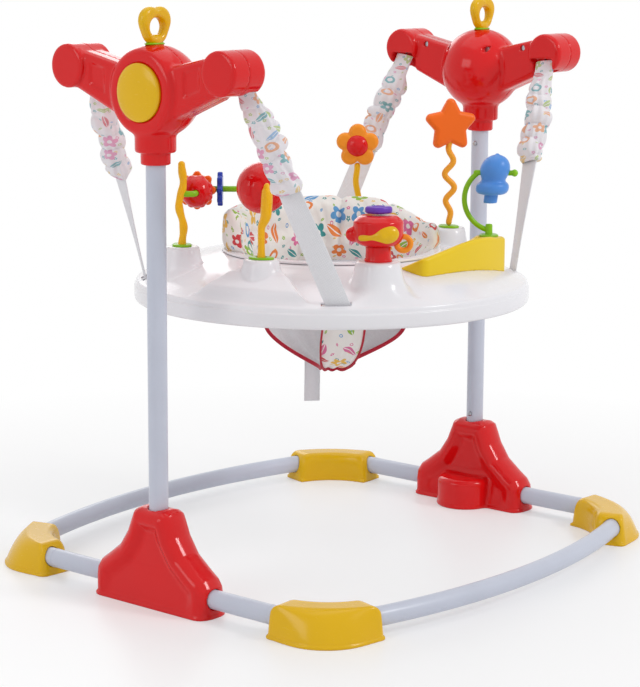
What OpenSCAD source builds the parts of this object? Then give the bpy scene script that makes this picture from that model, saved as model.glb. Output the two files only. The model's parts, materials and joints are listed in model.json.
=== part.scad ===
// Baby jumper: a rounded base ring carries two uprights, their heads hold four sprung
// straps, and the straps carry a round toy tray with a swivelling fabric seat.
// Millimetres. The origin is on the floor at the middle of the base, +Z is up and
// the uprights stand on the X axis.

/* [Frame tubes] */
// Outside diameter of every frame tube
tube_d = 28; // [25:0.5:31]
// Wall of the frame tubes
tube_wall = 1.5; // [1:0.1:2]
// Length of each swaged tube end that plugs into the next tube
plug_len = 40; // [32:1:46]
// Radial play between a swaged end and the tube it plugs into
plug_play = 0.1; // [0.05:0.05:0.2]
// Distance of each upright from the middle of the frame
upright_x = 386; // [375:1:400]
// Height of the seam between the lower stub and the upright
lower_seam_z = 181; // [174:1:190]
// Height of the seam between the upright and the head stub
upper_seam_z = 585; // [575:1:590]

/* [Base ring] */
// Height of the base tube's centre above the floor
base_z = 27; // [24:1:32]
// Distance of the middle of each long side from the middle of the base
long_y = 372; // [360:1:390]
// Bow radius of the long sides
bow_r = 1070; // [950:10:1200]
// Bend radius of the corners
corner_r = 120; // [110:1:130]
// Height of the corner feet
foot_h = 48; // [46:1:54]
// Distance of a corner foot's toe from the bend centre
foot_toe_r = 166; // [158:1:174]
// Wall of a corner foot on the inner side of the tube
foot_wall = 16; // [12:0.5:20]
// Wall of a corner foot on the outer side of the tube
foot_out_wall = 5; // [4:0.5:8]

/* [Foot housings] */
// Height of the foot housings
housing_h = 143; // [136:1:148]
// Half width of a foot housing at its base
housing_half_w = 110; // [104:1:116]
// Half width of a foot housing at its top
housing_top_w = 34; // [30:1:38]
// Height of the shoulder where the flare starts
housing_shoulder_z = 56; // [52:1:62]
// Half depth of a foot housing
housing_half_d = 27; // [25:0.5:30]
// Wall of the foot housings
housing_wall = 3; // [2.5:0.5:4]
// Reach of the inner toe from the upright axis
toe_reach = 71; // [62:1:78]
// Half width of the inner toe
toe_half_w = 40; // [34:1:46]
// Height of the inner toe
toe_h = 50; // [44:1:54]

/* [Heads] */
// Height of the head ball's centre
head_z = 734; // [728:1:742]
// Radius of the head ball
ball_r = 65.5; // [62:0.5:68]
// Distance of the arm ends from the upright axis
arm_y = 140; // [132:1:150]
// Height of the arm ends
arm_z = 765; // [760:1:772]
// Radius of the round arm ends
arm_end_r = 31; // [29:0.5:33]
// Length of the round arm ends
arm_end_len = 68; // [62:1:74]
// Thickness of the arms
arm_t = 48; // [42:1:54]
// Wall of the head shells
head_wall = 3; // [2.5:0.5:3.5]
// Height of the collar's lower edge
collar_z = 633; // [626:1:640]
// Radius of the collar's lower sleeve
sleeve_r = 18; // [17:0.5:20]
// Radius of the collar under the ball
collar_r = 29; // [26:0.5:31]
// Distance of the flat for the round cover from the upright axis
flat_x = 32; // [29:0.5:36]
// Radius of the round cover
cover_r = 40.5; // [38:0.5:44]
// Bulge of the round cover
cover_bulge = 9; // [6:0.5:11]
// Width of the heart loops
loop_w = 58; // [50:1:64]
// Height of the heart loops
loop_h = 53; // [46:1:60]
// Thickness of the heart loops
loop_t = 12; // [9:0.5:14]

/* [Straps] */
// Width of the strap webbing
web_w = 34; // [30:1:36]
// Thickness of the strap webbing
web_t = 2; // [1.5:0.1:2.4]
// Distance of the strap slots from the middle of the tray
slot_r = 288; // [284:1:291]
// Angle of the strap slots from the X axis
slot_a = 40.8; // [38:0.2:43]
// Diameter of the pins in the arm ends
pin_d = 6; // [5:0.5:7]
// Distance of each pin from the upright axis, towards the tray
pin_in = 18; // [16:0.5:20]
// Outside diameter of the suspension springs
spring_d = 16; // [14:0.5:18]
// Wire diameter of the suspension springs
wire_d = 2.5; // [2:0.1:3]
// Half width of the gathered sleeves
gather_half_w = 21; // [20:0.5:24]
// Half thickness of the gathered sleeves
gather_half_t = 15; // [14:0.5:17]
// Number of gathers along a sleeve
gather_n = 8; // [5:1:10]

/* [Tray] */
// Radius of the tray's rim
tray_r = 303; // [299:1:308]
// Height of the rim's lower edge
tray_z = 401.5; // [396:0.5:406]
// Height of the rim wall
rim_h = 31; // [28:1:34]
// Height of the tray's lip above the rim's lower edge
lip_h = 72.5; // [69:0.5:76]
// Radius of the seat opening in the tray
hole_r = 160; // [156:1:164]
// Wall of the tray
tray_wall = 3; // [2.5:0.25:3.5]
// Distance of the toy stations from the middle of the tray
station_r = 240; // [236:1:244]
// Height of the toy stations above the rim's lower edge
station_h = 88.5; // [85:0.5:92]
// Radius of a toy station's top
station_top_r = 26; // [23:0.5:28]
// Radius of a toy station's flared foot
station_foot_r = 84; // [76:1:90]

/* [Seat] */
// Direction that the seat faces, from the X axis
seat_a = 229; // [200:1:260]
// Radial play between the seat ring and the tray
ring_play = 3; // [2:0.5:4]
// Wall of the seat ring
ring_wall = 4; // [3:0.5:5]
// Height of the padded back above the tray's lip
pad_top_h = 64; // [56:1:68]
// Depth of the padded back below the tray's lip
pad_low_h = 42; // [34:1:46]
// Thickness of the padded back
pad_t = 34; // [28:1:40]
// Sweep of the padded back on each side of the seat's rear
pad_sweep = 108; // [96:1:118]
// Number of sewn channels in the padded back
pad_channels = 7; // [4:1:9]
// Height of the lowest point of the sling
sling_z = 291; // [280:1:305]
// Thickness of the sling
sling_t = 2.4; // [2:0.2:3]
// Half width of the sling's front panel
front_half_w = 32; // [28:1:36]
// Half width of the sling between the legs
crotch_half_w = 27; // [24:1:30]
// Half width of the sling's back panel
back_half_w = 104; // [96:1:108]
// Width of the hanging tail strap
tail_w = 22; // [18:1:25]
// Height of the tail strap's lower end
tail_z = 236; // [230:1:250]

/* [Toys] */
// Radius of the spinning ball
spin_ball_r = 38; // [34:0.5:40]
// Diameter of the ball's axle
axle_d = 8; // [6:0.5:9]
// Running play of the toys on their axles
toy_play = 0.1; // [0.05:0.01:0.15]
// Height of the spinning ball's axle above its station
ball_axle_h = 97; // [92:1:102]
// Diameter of the bead branch
branch_d = 9; // [8:0.5:10]
// Length of the bead branch
branch_len = 112; // [108:1:120]
// Height of the bead branch above its station
branch_h = 78; // [72:1:84]
// Radius of the red bead
bead_r = 24; // [22:0.5:25]
// Radius of the toothed bead wheels
wheel_r = 26; // [24:0.5:27]
// Outer radius of the flower
flower_r = 33; // [30:0.5:36]
// Height of the flower's centre above its station
flower_h = 122; // [116:1:128]
// Outer radius of the star
star_r = 39; // [36:0.5:42]
// Height of the star's centre above its station
star_h = 163; // [156:1:168]
// Thickness of the flower and the star
petal_t = 14; // [10:0.5:16]
// Diameter of the flexible stems
stem_d = 10; // [8:0.5:11]
// Length of the spinner toy's body
spinner_len = 92; // [84:1:98]
// Radius of the spinner toy's base
spinner_base_r = 20; // [18:0.5:22]
// Height of the swing toy's axle above its station
swing_axle_h = 97; // [92:1:102]
// Radius of the swing toy's domed top
swing_r = 23; // [21:0.5:23.5]
// Diameter of the swing arm
arm_rod_d = 8; // [7:0.5:9]
// Height of the music pod's low end above the rim's lower edge
pod_low_h = 76; // [72:1:80]
// Height of the music pod's high end above the rim's lower edge
pod_high_h = 97; // [94:1:100]

/* [Snap buttons] */
// Diameter of the snap buttons
button_d = 8; // [7:0.5:9]
// Play of the snap buttons in their holes
button_play = 0.2; // [0.1:0.05:0.3]
// Reach of the snap buttons beyond the tube
button_out = 3; // [2:0.5:4]

/* [Hidden] */
$fn = 48;

// Play between seated pieces that do not move on each other
seat_play = 0.1;
// Air between soft pieces and their neighbours
soft_gap = 0.4;
// Overlap that makes a boolean cut run clear of a face
cut = 1;
bore_d = tube_d - 2 * tube_wall;
plug_d = bore_d - 2 * plug_play;
plug_bore_d = plug_d - 2 * tube_wall;

// Base ring: the corner bend touches the upright line and the bowed long side
joint_gap = 12;
joint_y = housing_half_w + joint_gap;
bow_y = long_y - bow_r;
corner_x = upright_x - corner_r;
corner_y = bow_y + sqrt(pow(bow_r - corner_r, 2) - pow(corner_x, 2));
corner_a = atan2(corner_y - bow_y, corner_x);
plug_a = plug_len / bow_r * 180 / PI;
neck_len = 4;
neck_a = neck_len / bow_r * 180 / PI;
band_t = 0.3;
band_w = 3;

// Corner feet
foot_start_a = -3;
foot_end_a = 80;
foot_in_r = corner_r - tube_d / 2 - foot_wall;
foot_out_r = corner_r + tube_d / 2 + foot_out_wall;
foot_edge = 7;
foot_play = 0.9;
// Angle by which the groove for the tube runs past the ends of a foot
foot_past_a = 5;
toe_round_r = 74;
toe_taper = 22;
toe_drop = 5;

// Foot housings: handles of the flare's curve, the waist, the crown and the panels
flare_low = 12;
flare_high = 26;
waist_w = 14;
crown_h = 14;
crown_edge = 6;
ridge_w = 26;
recess = 4;
toe_corner_r = 16;

// Snap buttons: the flange lies inside the swaged end
button_inset = 13;
flange_w = 1.5;
flange_r = button_d / 2 + flange_w;
flange_t = 2;
button_edge = button_d / 5;
flange_z = sqrt(pow(plug_bore_d / 2, 2) - pow(flange_r, 2)) - flange_t - button_play;
lower_button_z = lower_seam_z - plug_len + button_inset;
upper_button_z = upper_seam_z + plug_len - button_inset;

// Heads
collar_step_h = 17;
collar_step_z = collar_z + collar_step_h;
stub_drop = 28;
stub_top_z = head_z - stub_drop;
pin_drop = 5;
pin_z = arm_z - pin_drop;
// Arms: height of the root's upper edge over the ball's middle, and the edges drawn in at both ends
arm_root_up = ball_r * 0.4;
arm_root_in = 8;
arm_tip_in = 4;
notch_depth = 22;
notch_side = 4;
notch_half_w = web_w / 2 + notch_side;
notch_top_z = pin_z - pin_d / 2;
screw_d = 4;
screw_head_d = 8;
screw_head_h = 3;
screw_room = 1;
boss_r = 6;
screw_reach = 12;
screw_sink = 7;
// Screws in the arms: distance from the arm's end and from its upper edge
arm_screw_in = 43;
arm_screw_low = 10;
arm_screw_y = arm_y - arm_screw_in;
arm_screw_z = arm_edge_z(arm_screw_y) - arm_screw_low;
// Screws in the ball: across and above its middle
ball_screw_y = 36.5;
ball_screw_h = 34;
ball_screw_x = sqrt(pow(ball_r, 2) - pow(ball_screw_y, 2) - pow(ball_screw_h, 2));
// Places of the head screws: across the arms, height, depth of the head's seat
screw_spots = [for (s = [1, -1], arm = [true, false]) arm
    ? [s * arm_screw_y, arm_screw_z, arm_t / 2 - screw_sink]
    : [s * ball_screw_y, head_z + ball_screw_h, ball_screw_x - 2 * screw_sink + screw_head_h]];
stalk_r = 5;
loop_gap = 1;
loop_z = head_z + ball_r + loop_gap;

// Straps run straight from the pin to the tray's slot
strap_top = [upright_x - pin_in, arm_y, pin_z];
strap_rise = 8;
strap_bot = [slot_r * cos(slot_a), slot_r * sin(slot_a), tray_z + rim_h + strap_rise];
strap_len = norm(strap_bot - strap_top);
strap_d = (strap_bot - strap_top) / strap_len;
gather_start = 9;
gather_flat = 24;
spring_start = 46;
spring_end = 158;
bar_s = 176;
bar_d = 4;
gather_end = bar_s + bar_d / 2;
gather_depth = 3;
sleeve_wall = 2;
web_start = gather_end + soft_gap;
plate_t = 4;
plate_half_w = 8;
plate_end = 4;
plate_gap = 1;
plate_z = tray_z + rim_h - tray_wall - plate_gap - plate_t;
plate_s = (plate_z + plate_t / 2 - strap_top.z) / strap_d.z;
hem_drop = 13;
hem_len = 5;
web_hem = plate_s + hem_drop;
web_end = web_hem + hem_len;
web_fold_t = 9;
slot_w = 8;
slot_room = 9;
slot_l = web_w + slot_room;

// Tray
skirt_h = 26;
lip_z = tray_z + lip_h;
station_z = tray_z + station_h;
// Points of the upper surface: inwards from the rim and up from the rim's height
rim_points = [[0, -7], [2, -2], [8, 1], [17, 4]];
// Points of the upper surface: outwards from the seat opening and down from the lip
lip_points = [[(tray_r - hole_r) / 2 + 28, 25], [(tray_r - hole_r) / 2, 14], [28, 5], [10, 1]];
lip_edge = 3;
// Toy stations: sink of the foot, handles of the flare's curve, neck and edge of the top
station_sink = 6;
station_sweep = 44;
station_rise = 1;
waist_out = 6;
waist_up = 20;
station_neck = 12;
station_edge = 2;
// Toy stations: bead branch, spinning ball, spinner, star and flower
bead_a = 150.5;
ball_a = 194.5;
spinner_a = 235.5;
star_a = -12;
flower_a = 29.5;
station_angles = [bead_a, ball_a, spinner_a, star_a, flower_a];

// Music pod: plan between the seat opening and a shallow outer arc
pod_x0 = -85;
pod_x1 = 149;
pod_flat = 46;
pod_arc_r = 757;
pod_mid_x = 49;
pod_front_y = -220;
pod_clear = 14;
pod_in_r = hole_r + pod_clear;
pod_sink = 10;
pod_foot = rim_h - pod_sink;
pod_z = tray_z + pod_high_h;
// Swing toy: its place in from the pod's high end and front, and the way that it faces
swing_in = [13, 22];
swing_spot = [pod_x1 - swing_in.x, pod_front_y + swing_in.y];
swing_a = atan2(swing_spot.y, swing_spot.x);

// Seat
ring_r = hole_r - ring_play;
ring_in_r = ring_r - ring_wall;
ring_flange_t = 3;
ring_gap = 0.3;
flange_over = 8;
flange_out_r = hole_r + flange_over;
flange_edge = 1;
ring_drop = 7;
ring_low_z = lip_z - skirt_h - ring_drop;
retain_t = 5;
retain_over = 5;
pad_r = ring_in_r - soft_gap - pad_t / 2;
pad_mid_z = lip_z + (pad_top_h - pad_low_h) / 2;
pad_half_h = (pad_top_h + pad_low_h) / 2;
pad_roll = 7;
pad_sides = 12;
pad_steps = 6;
// Shares by which the channels draw in the padded back's thickness and height
channel_in = 0.22;
channel_down = 0.05;
sling_top_z = lip_z - pad_low_h - soft_gap - sling_t;
sling_lap = 4;
sling_front_z = ring_low_z + sling_lap;
front_flare = 14;
sling_run = 0.85;
sling_rise = 1.9;
sling_front_r = ring_in_r - soft_gap - sling_t;
sling_back_r = pad_r;
sling_mid = 12;
sling_rows = 12;
sling_cols = 8;
fold_h = 3;
fold_n = 3;
tail_t = 1.6;
tail_row = 0.42;
tail_side = -20;

// Toys
leaf_r = 19;
leaf_t = 3;
post_h = 126;
post_d = 10;
post_wave = 3;
fwd_a = 39.7;
bend_r = 7;
bead_out = 20;
bead_mid = 33;
branch_back = 70;
wheel_t = 10;
wheel_teeth = 8;
blue_out = 54;
ball_gap = 12;
ball_back = spin_ball_r + ball_gap;
stem_shift = 8;
// Ball stem: radius of its paddle, height of its knee, length of the bend and of the tip
paddle_r = stem_d * 0.8;
knee_h = 48.5;
knee_len = 20;
tip_h = 9;
axle_reach = 16;
flower_face_a = 216;
star_face_a = 235;
// Share of the star's radius at its inner corners
star_in = 0.56;
flower_wave = 3;
star_wave = 6;
spinner_h = 46;
spinner_base_h = 22;
spinner_cap = 4;
nose_r = 12;
ear_r = 11;
ear_t = 8;
spinner_r = 34;
rotor_h = 10;
rotor_r = 19.5;
swing_shift = 7;
swing_half = 29;
swing_post_d = 11;
swing_post_h = 19;
// Swing arm: middle, radius and angles of its arc
arc_x = 11.3;
arc_drop = 40;
arc_r = 49.3;
arc_from_a = 128;
arc_sweep_a = 124;
swing_tip_d = arm_rod_d + 4;
// Swing toy: rise of the dome, and depths of its neck, brim and foot below the axle
dome_rise = 5;
neck_low = 12;
brim_high = 20;
brim_low = 30;
foot_high = 32;
foot_low = 46;

// Height of an arm's upper edge at a distance y from the upright
function arm_edge_z(y) = head_z + arm_root_up
    + (arm_z + arm_end_r - arm_tip_in - head_z - arm_root_up) * y / arm_y;
// Unit vector along v
function unit(v) = v / norm(v);
// Unit vector of the part of v that is square to the unit vector d
function square_to(v, d) = unit(v - d * (v * d));
// Point at radius r, angle a and height z
function polar(r, a, z = 0) = [r * cos(a), r * sin(a), z];
// Smooth step from 0 to 1
function ease(t) = let (c = min(max(t, 0), 1)) c * c * (3 - 2 * c);
// Point of a cubic curve with four control points
function bezier(p, t) = p[0] * pow(1 - t, 3) + 3 * p[1] * t * pow(1 - t, 2)
    + 3 * p[2] * t * t * (1 - t) + p[3] * pow(t, 3);

// Triangles of a skin over rings of n points, closed at both ends
function loft_faces(rings, n) = concat(
    [for (i = [0:rings - 2], j = [0:n - 1], k = [0, 1])
        let (a = i * n + j, b = i * n + (j + 1) % n)
        k == 0 ? [a, b + n, b] : [a, a + n, b + n]],
    [for (j = [1:n - 2]) [0, j, j + 1]],
    [for (j = [1:n - 2]) let (o = (rings - 1) * n) [o, o + j + 1, o + j]]);

// Triangles of a skin over rings of n points whose last ring joins the first
function loop_faces(rings, n) = [for (i = [0:rings - 1], j = [0:n - 1], k = [0, 1])
    let (m = (i + 1) % rings, a = i * n + j, b = i * n + (j + 1) % n,
        c = m * n + j, e = m * n + (j + 1) % n)
    k == 0 ? [a, e, b] : [a, c, e]];

module loft(rings) {
    polyhedron([for (r = rings, q = r) q], loft_faces(len(rings), len(rings[0])));
}

module loop_loft(rings) {
    polyhedron([for (r = rings, q = r) q], loop_faces(len(rings), len(rings[0])));
}

// Round stem along a path, with one radius per point
module stem(path, radii, sides = 10) {
    last = len(path) - 1;
    loft([for (i = [0:last])
        let (d = unit(path[min(i + 1, last)] - path[max(i - 1, 0)]),
            u = square_to([1, 0, 0], d), v = cross(d, u))
        [for (j = [0:sides - 1])
            path[i] + radii[i] * (cos(360 * j / sides) * u + sin(360 * j / sides) * v)]]);
}

// Copy for one side of the frame: left is mirrored in X, front is mirrored in Y
module placed(left, front = false) {
    mirror([left ? 1 : 0, 0, 0]) mirror([0, front ? 1 : 0, 0]) children();
}

module tube_ring(d, wall) {
    difference() {
        circle(d = d);
        circle(d = d - 2 * wall);
    }
}

// Three stretches of one quarter of the base ring, for a section about the tube's axis
module straight_sweep() {
    translate([upright_x, joint_y, base_z]) rotate([-90, 0, 0])
        linear_extrude(corner_y - joint_y) children();
}
module corner_sweep() {
    translate([corner_x, corner_y, base_z])
        rotate_extrude(angle = corner_a) translate([corner_r, 0]) children();
}
module bow_sweep() {
    translate([0, bow_y, base_z]) rotate([0, 0, corner_a])
        rotate_extrude(angle = 90 - corner_a) translate([bow_r, 0]) children();
}

// Place on the long side, an angle past its middle, facing the middle of the base
module long_side_spot(past) {
    translate([0, bow_y, base_z]) rotate([0, 0, 90 - past]) translate([bow_r, 0, 0])
        rotate([0, 0, 180]) children();
}

// Hole for a snap button, outward along X from a tube's axis
module button_hole() {
    rotate([0, 90, 0]) cylinder(d = button_d + 2 * button_play, h = tube_d);
}

module snap_button() {
    tip = tube_d / 2 + button_out;
    color("silver") rotate([0, 90, 0]) rotate_extrude() polygon([
        [0, flange_z], [flange_r, flange_z], [flange_r, flange_z + flange_t],
        [button_d / 2, flange_z + flange_t], [button_d / 2, tip - button_edge],
        [button_d / 2 - button_edge, tip], [0, tip]]);
}

// Low band round a weld seam of the base ring, at an angle of the corner bend
module weld_band(a) {
    translate([corner_x, corner_y, base_z]) rotate([0, 0, a]) translate([corner_r, 0, 0])
        rotate([90, 0, 0]) linear_extrude(band_w, center = true)
        tube_ring(tube_d + 2 * band_t, tube_wall + 2 * band_t);
}

// One quarter of the base ring: the plugged ones end in a swaged plug, and the back pair is
// the front pair turned half round
module base_tube(plugged, back) {
    color("lightsteelblue") rotate([0, 0, back ? 180 : 0]) placed(plugged, true) difference() {
        union() {
            straight_sweep() tube_ring(tube_d, tube_wall);
            corner_sweep() tube_ring(tube_d, tube_wall);
            bow_sweep() tube_ring(tube_d, tube_wall);
            weld_band(0);
            weld_band(corner_a);
            if (plugged) translate([0, bow_y, base_z]) {
                rotate([0, 0, 90 - neck_a]) rotate_extrude(angle = neck_a * 0.8)
                    translate([bow_r, 0]) tube_ring(tube_d - tube_wall, tube_wall + plug_play);
                rotate([0, 0, 90 - neck_a / 2]) rotate_extrude(angle = plug_a + neck_a / 2)
                    translate([bow_r, 0]) tube_ring(plug_d, tube_wall);
            }
        }
        long_side_spot((plugged ? -1 : 1) * plug_a / 2) button_hole();
    }
}

// Cross tube under a foot housing with the welded stub of its upright
module foot_frame(left) {
    color("lightsteelblue") placed(left) translate([upright_x, 0, 0]) difference() {
        union() {
            translate([0, 0, base_z]) rotate([90, 0, 0]) {
                cylinder(d = tube_d, h = 2 * joint_y, center = true);
                cylinder(d = plug_d, h = 2 * (joint_y + plug_len), center = true);
            }
            translate([0, 0, base_z]) cylinder(d = tube_d, h = lower_seam_z - base_z);
        }
        translate([0, 0, base_z]) rotate([90, 0, 0])
            cylinder(d = plug_bore_d, h = 2 * (joint_y + plug_len + cut), center = true);
        translate([0, 0, base_z + tube_d / 2]) cylinder(d = bore_d, h = lower_seam_z);
        translate([0, 0, lower_button_z]) rotate([0, 0, 180]) button_hole();
    }
}

module upright(left) {
    color("lightsteelblue") placed(left) translate([upright_x, 0, 0]) difference() {
        union() {
            translate([0, 0, lower_seam_z]) cylinder(d = tube_d, h = upper_seam_z - lower_seam_z);
            translate([0, 0, lower_seam_z - plug_len])
                cylinder(d = plug_d, h = upper_seam_z - lower_seam_z + 2 * plug_len);
        }
        translate([0, 0, lower_seam_z - plug_len - cut])
            cylinder(d = plug_bore_d, h = upper_seam_z - lower_seam_z + 2 * (plug_len + cut));
        for (z = [lower_button_z, upper_button_z])
            translate([0, 0, z]) rotate([0, 0, 180]) button_hole();
    }
}

module head_stub(left) {
    color("lightsteelblue") placed(left) translate([upright_x, 0, 0]) difference() {
        translate([0, 0, upper_seam_z]) cylinder(d = tube_d, h = stub_top_z - upper_seam_z);
        translate([0, 0, upper_seam_z - cut])
            cylinder(d = bore_d, h = stub_top_z - upper_seam_z + 2 * cut);
        translate([0, 0, upper_button_z]) rotate([0, 0, 180]) button_hole();
    }
}

module long_side_button(back) {
    rotate([0, 0, back ? 180 : 0]) placed(false, true) long_side_spot(plug_a / 2) snap_button();
}

module upright_button(left, z) {
    placed(left) translate([upright_x, 0, z]) rotate([0, 0, 180]) snap_button();
}

// Angular slice of a corner foot about the bend centre
module foot_slice() {
    rotate([0, 0, foot_start_a]) rotate_extrude(angle = foot_end_a - foot_start_a) children();
}

module corner_foot(left, front) {
    mid_a = (foot_start_a + foot_end_a) / 2;
    color("gold") placed(left, front) difference() {
        translate([corner_x, corner_y, 0]) union() {
            foot_slice() polygon([
                [foot_in_r, 0], [foot_in_r, foot_h - foot_edge], [foot_in_r + foot_edge, foot_h],
                [foot_out_r - foot_edge, foot_h], [foot_out_r, foot_h - foot_edge],
                [foot_out_r, 0]]);
            intersection() {
                translate(polar(foot_toe_r - toe_round_r, mid_a))
                    cylinder(r1 = toe_round_r, r2 = toe_round_r - toe_taper, h = foot_h - toe_drop);
                foot_slice() translate([corner_r, 0]) square([foot_toe_r, foot_h]);
            }
        }
        translate([corner_x, corner_y, base_z]) rotate([0, 0, foot_start_a - foot_past_a])
            rotate_extrude(angle = foot_end_a - foot_start_a + 2 * foot_past_a)
            translate([corner_r, 0]) circle(d = tube_d + 2 * foot_play);
    }
}

// Outline of a foot housing, drawn in by i, down to the height low
function housing_half(i, low) = concat(
    [[housing_half_w - i, low]],
    [for (t = [0:0.1:1]) bezier([
        [housing_half_w - i, housing_shoulder_z - flare_low],
        [housing_half_w - i, housing_shoulder_z + flare_high],
        [housing_top_w + waist_w - i, housing_shoulder_z + waist_w - i],
        [housing_top_w - i, housing_h - crown_h - i]], t)],
    [[housing_top_w - crown_edge - i, housing_h - i]]);
function housing_outline(i, low) = let (h = housing_half(i, low), n = len(h))
    concat(h, [for (k = [0:n - 1]) [-h[n - 1 - k].x, h[n - 1 - k].y]]);

// Slab through the housing's outline between two depths
module housing_slab(i, low, x0, x1) {
    translate([x0, 0, 0]) rotate([90, 0, 90]) linear_extrude(x1 - x0)
        polygon(housing_outline(i, low));
}

// Plan of the inner toe, drawn in by i
module toe_plan(i) {
    r = toe_corner_r;
    reach = toe_reach - i;
    w = toe_half_w - i;
    translate([-reach + r, -w]) square([reach - r, 2 * w]);
    translate([-reach, -w + r]) square([r, 2 * (w - r)]);
    for (s = [-1, 1]) translate([-reach + r, s * (w - r)]) circle(r = r);
}

module foot_housing(left) {
    inner_d = housing_half_d - recess - housing_wall;
    tube_hole = tube_d + 2 * seat_play;
    boss_z = base_z + tube_d / 2 + 2;
    color("crimson") placed(left) translate([upright_x, 0, 0]) difference() {
        union() {
            difference() {
                union() {
                    housing_slab(0, 0, -housing_half_d, housing_half_d);
                    linear_extrude(toe_h) toe_plan(0);
                }
                for (x = [-housing_half_d - cut, housing_half_d - recess])
                    intersection() {
                        housing_slab(ridge_w, -cut, x, x + recess + cut);
                        translate([0, -housing_half_w, x < 0 ? toe_h : -cut])
                            translate([-2 * housing_half_d, 0, 0])
                            cube([4 * housing_half_d, 2 * housing_half_w, housing_h]);
                    }
                housing_slab(housing_wall, -cut, -inner_d, inner_d);
                translate([0, 0, -cut]) linear_extrude(toe_h - housing_wall + cut)
                    toe_plan(housing_wall);
            }
            translate([0, 0, boss_z])
                cylinder(d = tube_hole + 2 * housing_wall, h = housing_h - housing_wall - boss_z);
        }
        translate([0, 0, boss_z - cut]) cylinder(d = tube_hole, h = housing_h);
        translate([0, 0, base_z]) rotate([90, 0, 0])
            cylinder(d = tube_hole, h = 2 * joint_y, center = true);
        translate([-tube_hole / 2, -joint_y, -cut]) cube([tube_hole, 2 * joint_y, base_z + cut]);
    }
}

// Ball, arms and arm ends of a head, drawn in by i
module head_form(i) {
    translate([0, 0, head_z]) sphere(r = ball_r - i);
    for (s = [-1, 1]) {
        translate([0, s * arm_y, arm_z]) rotate([0, 90, 0])
            cylinder(r = arm_end_r - i, h = arm_end_len - 2 * i, center = true);
        translate([-arm_t / 2 + i, 0, 0]) rotate([90, 0, 90]) linear_extrude(arm_t - 2 * i)
            polygon([[0, head_z + arm_root_up - i], [s * arm_y, arm_z + arm_end_r - arm_tip_in - i],
                [s * arm_y, arm_z - arm_end_r + arm_tip_in + i],
                [0, head_z - ball_r + arm_root_in + i]]);
    }
}

// Block beyond the flat for the round cover, drawn in by i
module beyond_flat(i) {
    translate([flat_x - i, -ball_r, head_z - ball_r]) cube(2 * ball_r);
}

module screw_at(spot, d, x0, x1) {
    translate([x0, spot.x, spot.y]) rotate([0, 90, 0]) cylinder(d = d, h = x1 - x0);
}

// One half of a head: side -1 is the inner half, towards the tray, and 1 is the outer half
module head_half(left, side) {
    reach = arm_y + arm_end_r + ball_r;
    color("crimson") placed(left) translate([upright_x, 0, 0]) difference() {
        intersection() {
            union() {
                difference() {
                    union() {
                        head_form(0);
                        translate([0, 0, collar_step_z])
                            cylinder(r = collar_r, h = head_z - collar_step_z);
                        translate([0, 0, collar_z]) cylinder(r = sleeve_r, h = head_z - collar_z);
                    }
                    difference() {
                        head_form(head_wall);
                        beyond_flat(head_wall);
                    }
                }
                intersection() {
                    head_form(0);
                    for (spot = screw_spots)
                        screw_at(spot, 2 * boss_r, -ball_r, ball_r);
                }
            }
            translate([side < 0 ? -reach : 0, -reach, collar_z - cut])
                cube([reach, 2 * reach, 2 * reach]);
        }
        translate([0, 0, collar_z - cut])
            cylinder(d = tube_d + 2 * seat_play, h = stub_top_z - collar_z + cut);
        translate([0, 0, head_z]) cylinder(r = stalk_r + seat_play, h = 2 * ball_r);
        beyond_flat(0);
        for (spot = screw_spots) {
            screw_at(spot, screw_d + 2 * seat_play, -ball_r, screw_reach + cut);
            screw_at(spot, screw_head_d + screw_room, -ball_r - cut, -spot.z);
        }
        for (s = [-1, 1])
            translate([-arm_end_len / 2 - cut, s * arm_y - notch_half_w, arm_z - arm_end_r - cut])
                cube([notch_depth + cut, 2 * notch_half_w, notch_top_z - arm_z + arm_end_r + cut]);
    }
}

// Domed round cover on the flat of a head
module head_covers() {
    dome_r = (pow(cover_r, 2) + pow(cover_bulge, 2)) / (2 * cover_bulge);
    color("gold") for (left = [true, false]) placed(left)
        translate([upright_x + flat_x, 0, head_z]) rotate([0, 90, 0]) intersection() {
            translate([0, 0, cover_bulge - dome_r]) sphere(r = dome_r, $fn = 200);
            cylinder(r = cover_r, h = 2 * cover_bulge);
        }
}

// Heart outline of width w and height h, standing on its point
module heart(w, h) {
    r = w * 0.27;
    translate([0, h - r]) {
        for (s = [-1, 1]) translate([s * (w / 2 - r), 0]) circle(r = r);
        polygon([[-w / 2 * 0.975, -r * 0.32], [0, r - h], [w / 2 * 0.975, -r * 0.32], [0, r * 0.5]]);
    }
}

module heart_loops() {
    band = loop_w * 0.19;
    stalk_low = head_z + ball_r - 2 * head_wall;
    color("gold") for (left = [true, false]) placed(left) translate([upright_x, 0, 0]) {
        translate([0, 0, loop_z]) rotate([90, 0, 0]) linear_extrude(loop_t, center = true)
            difference() {
                heart(loop_w, loop_h);
                translate([0, band * 1.3]) heart(loop_w - 2 * band, loop_h - 2.2 * band);
            }
        translate([0, 0, stalk_low]) cylinder(r = stalk_r, h = loop_z + band - stalk_low);
    }
}

module head_screws() {
    color("dimgray") for (left = [true, false], spot = screw_spots)
        placed(left) translate([upright_x, 0, 0]) {
            screw_at(spot, screw_d, -spot.z - screw_head_h, screw_reach);
            screw_at(spot, screw_head_d, -spot.z - screw_head_h, -spot.z);
        }
}

module strap_pins() {
    half = sqrt(pow(arm_end_r - head_wall, 2) - pow(pin_drop + pin_d / 2, 2)) - 2 * seat_play;
    color("silver") for (left = [true, false], front = [true, false])
        placed(left, front) translate(strap_top) rotate([90, 0, 0])
            cylinder(d = pin_d, h = 2 * half, center = true);
}

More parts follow.
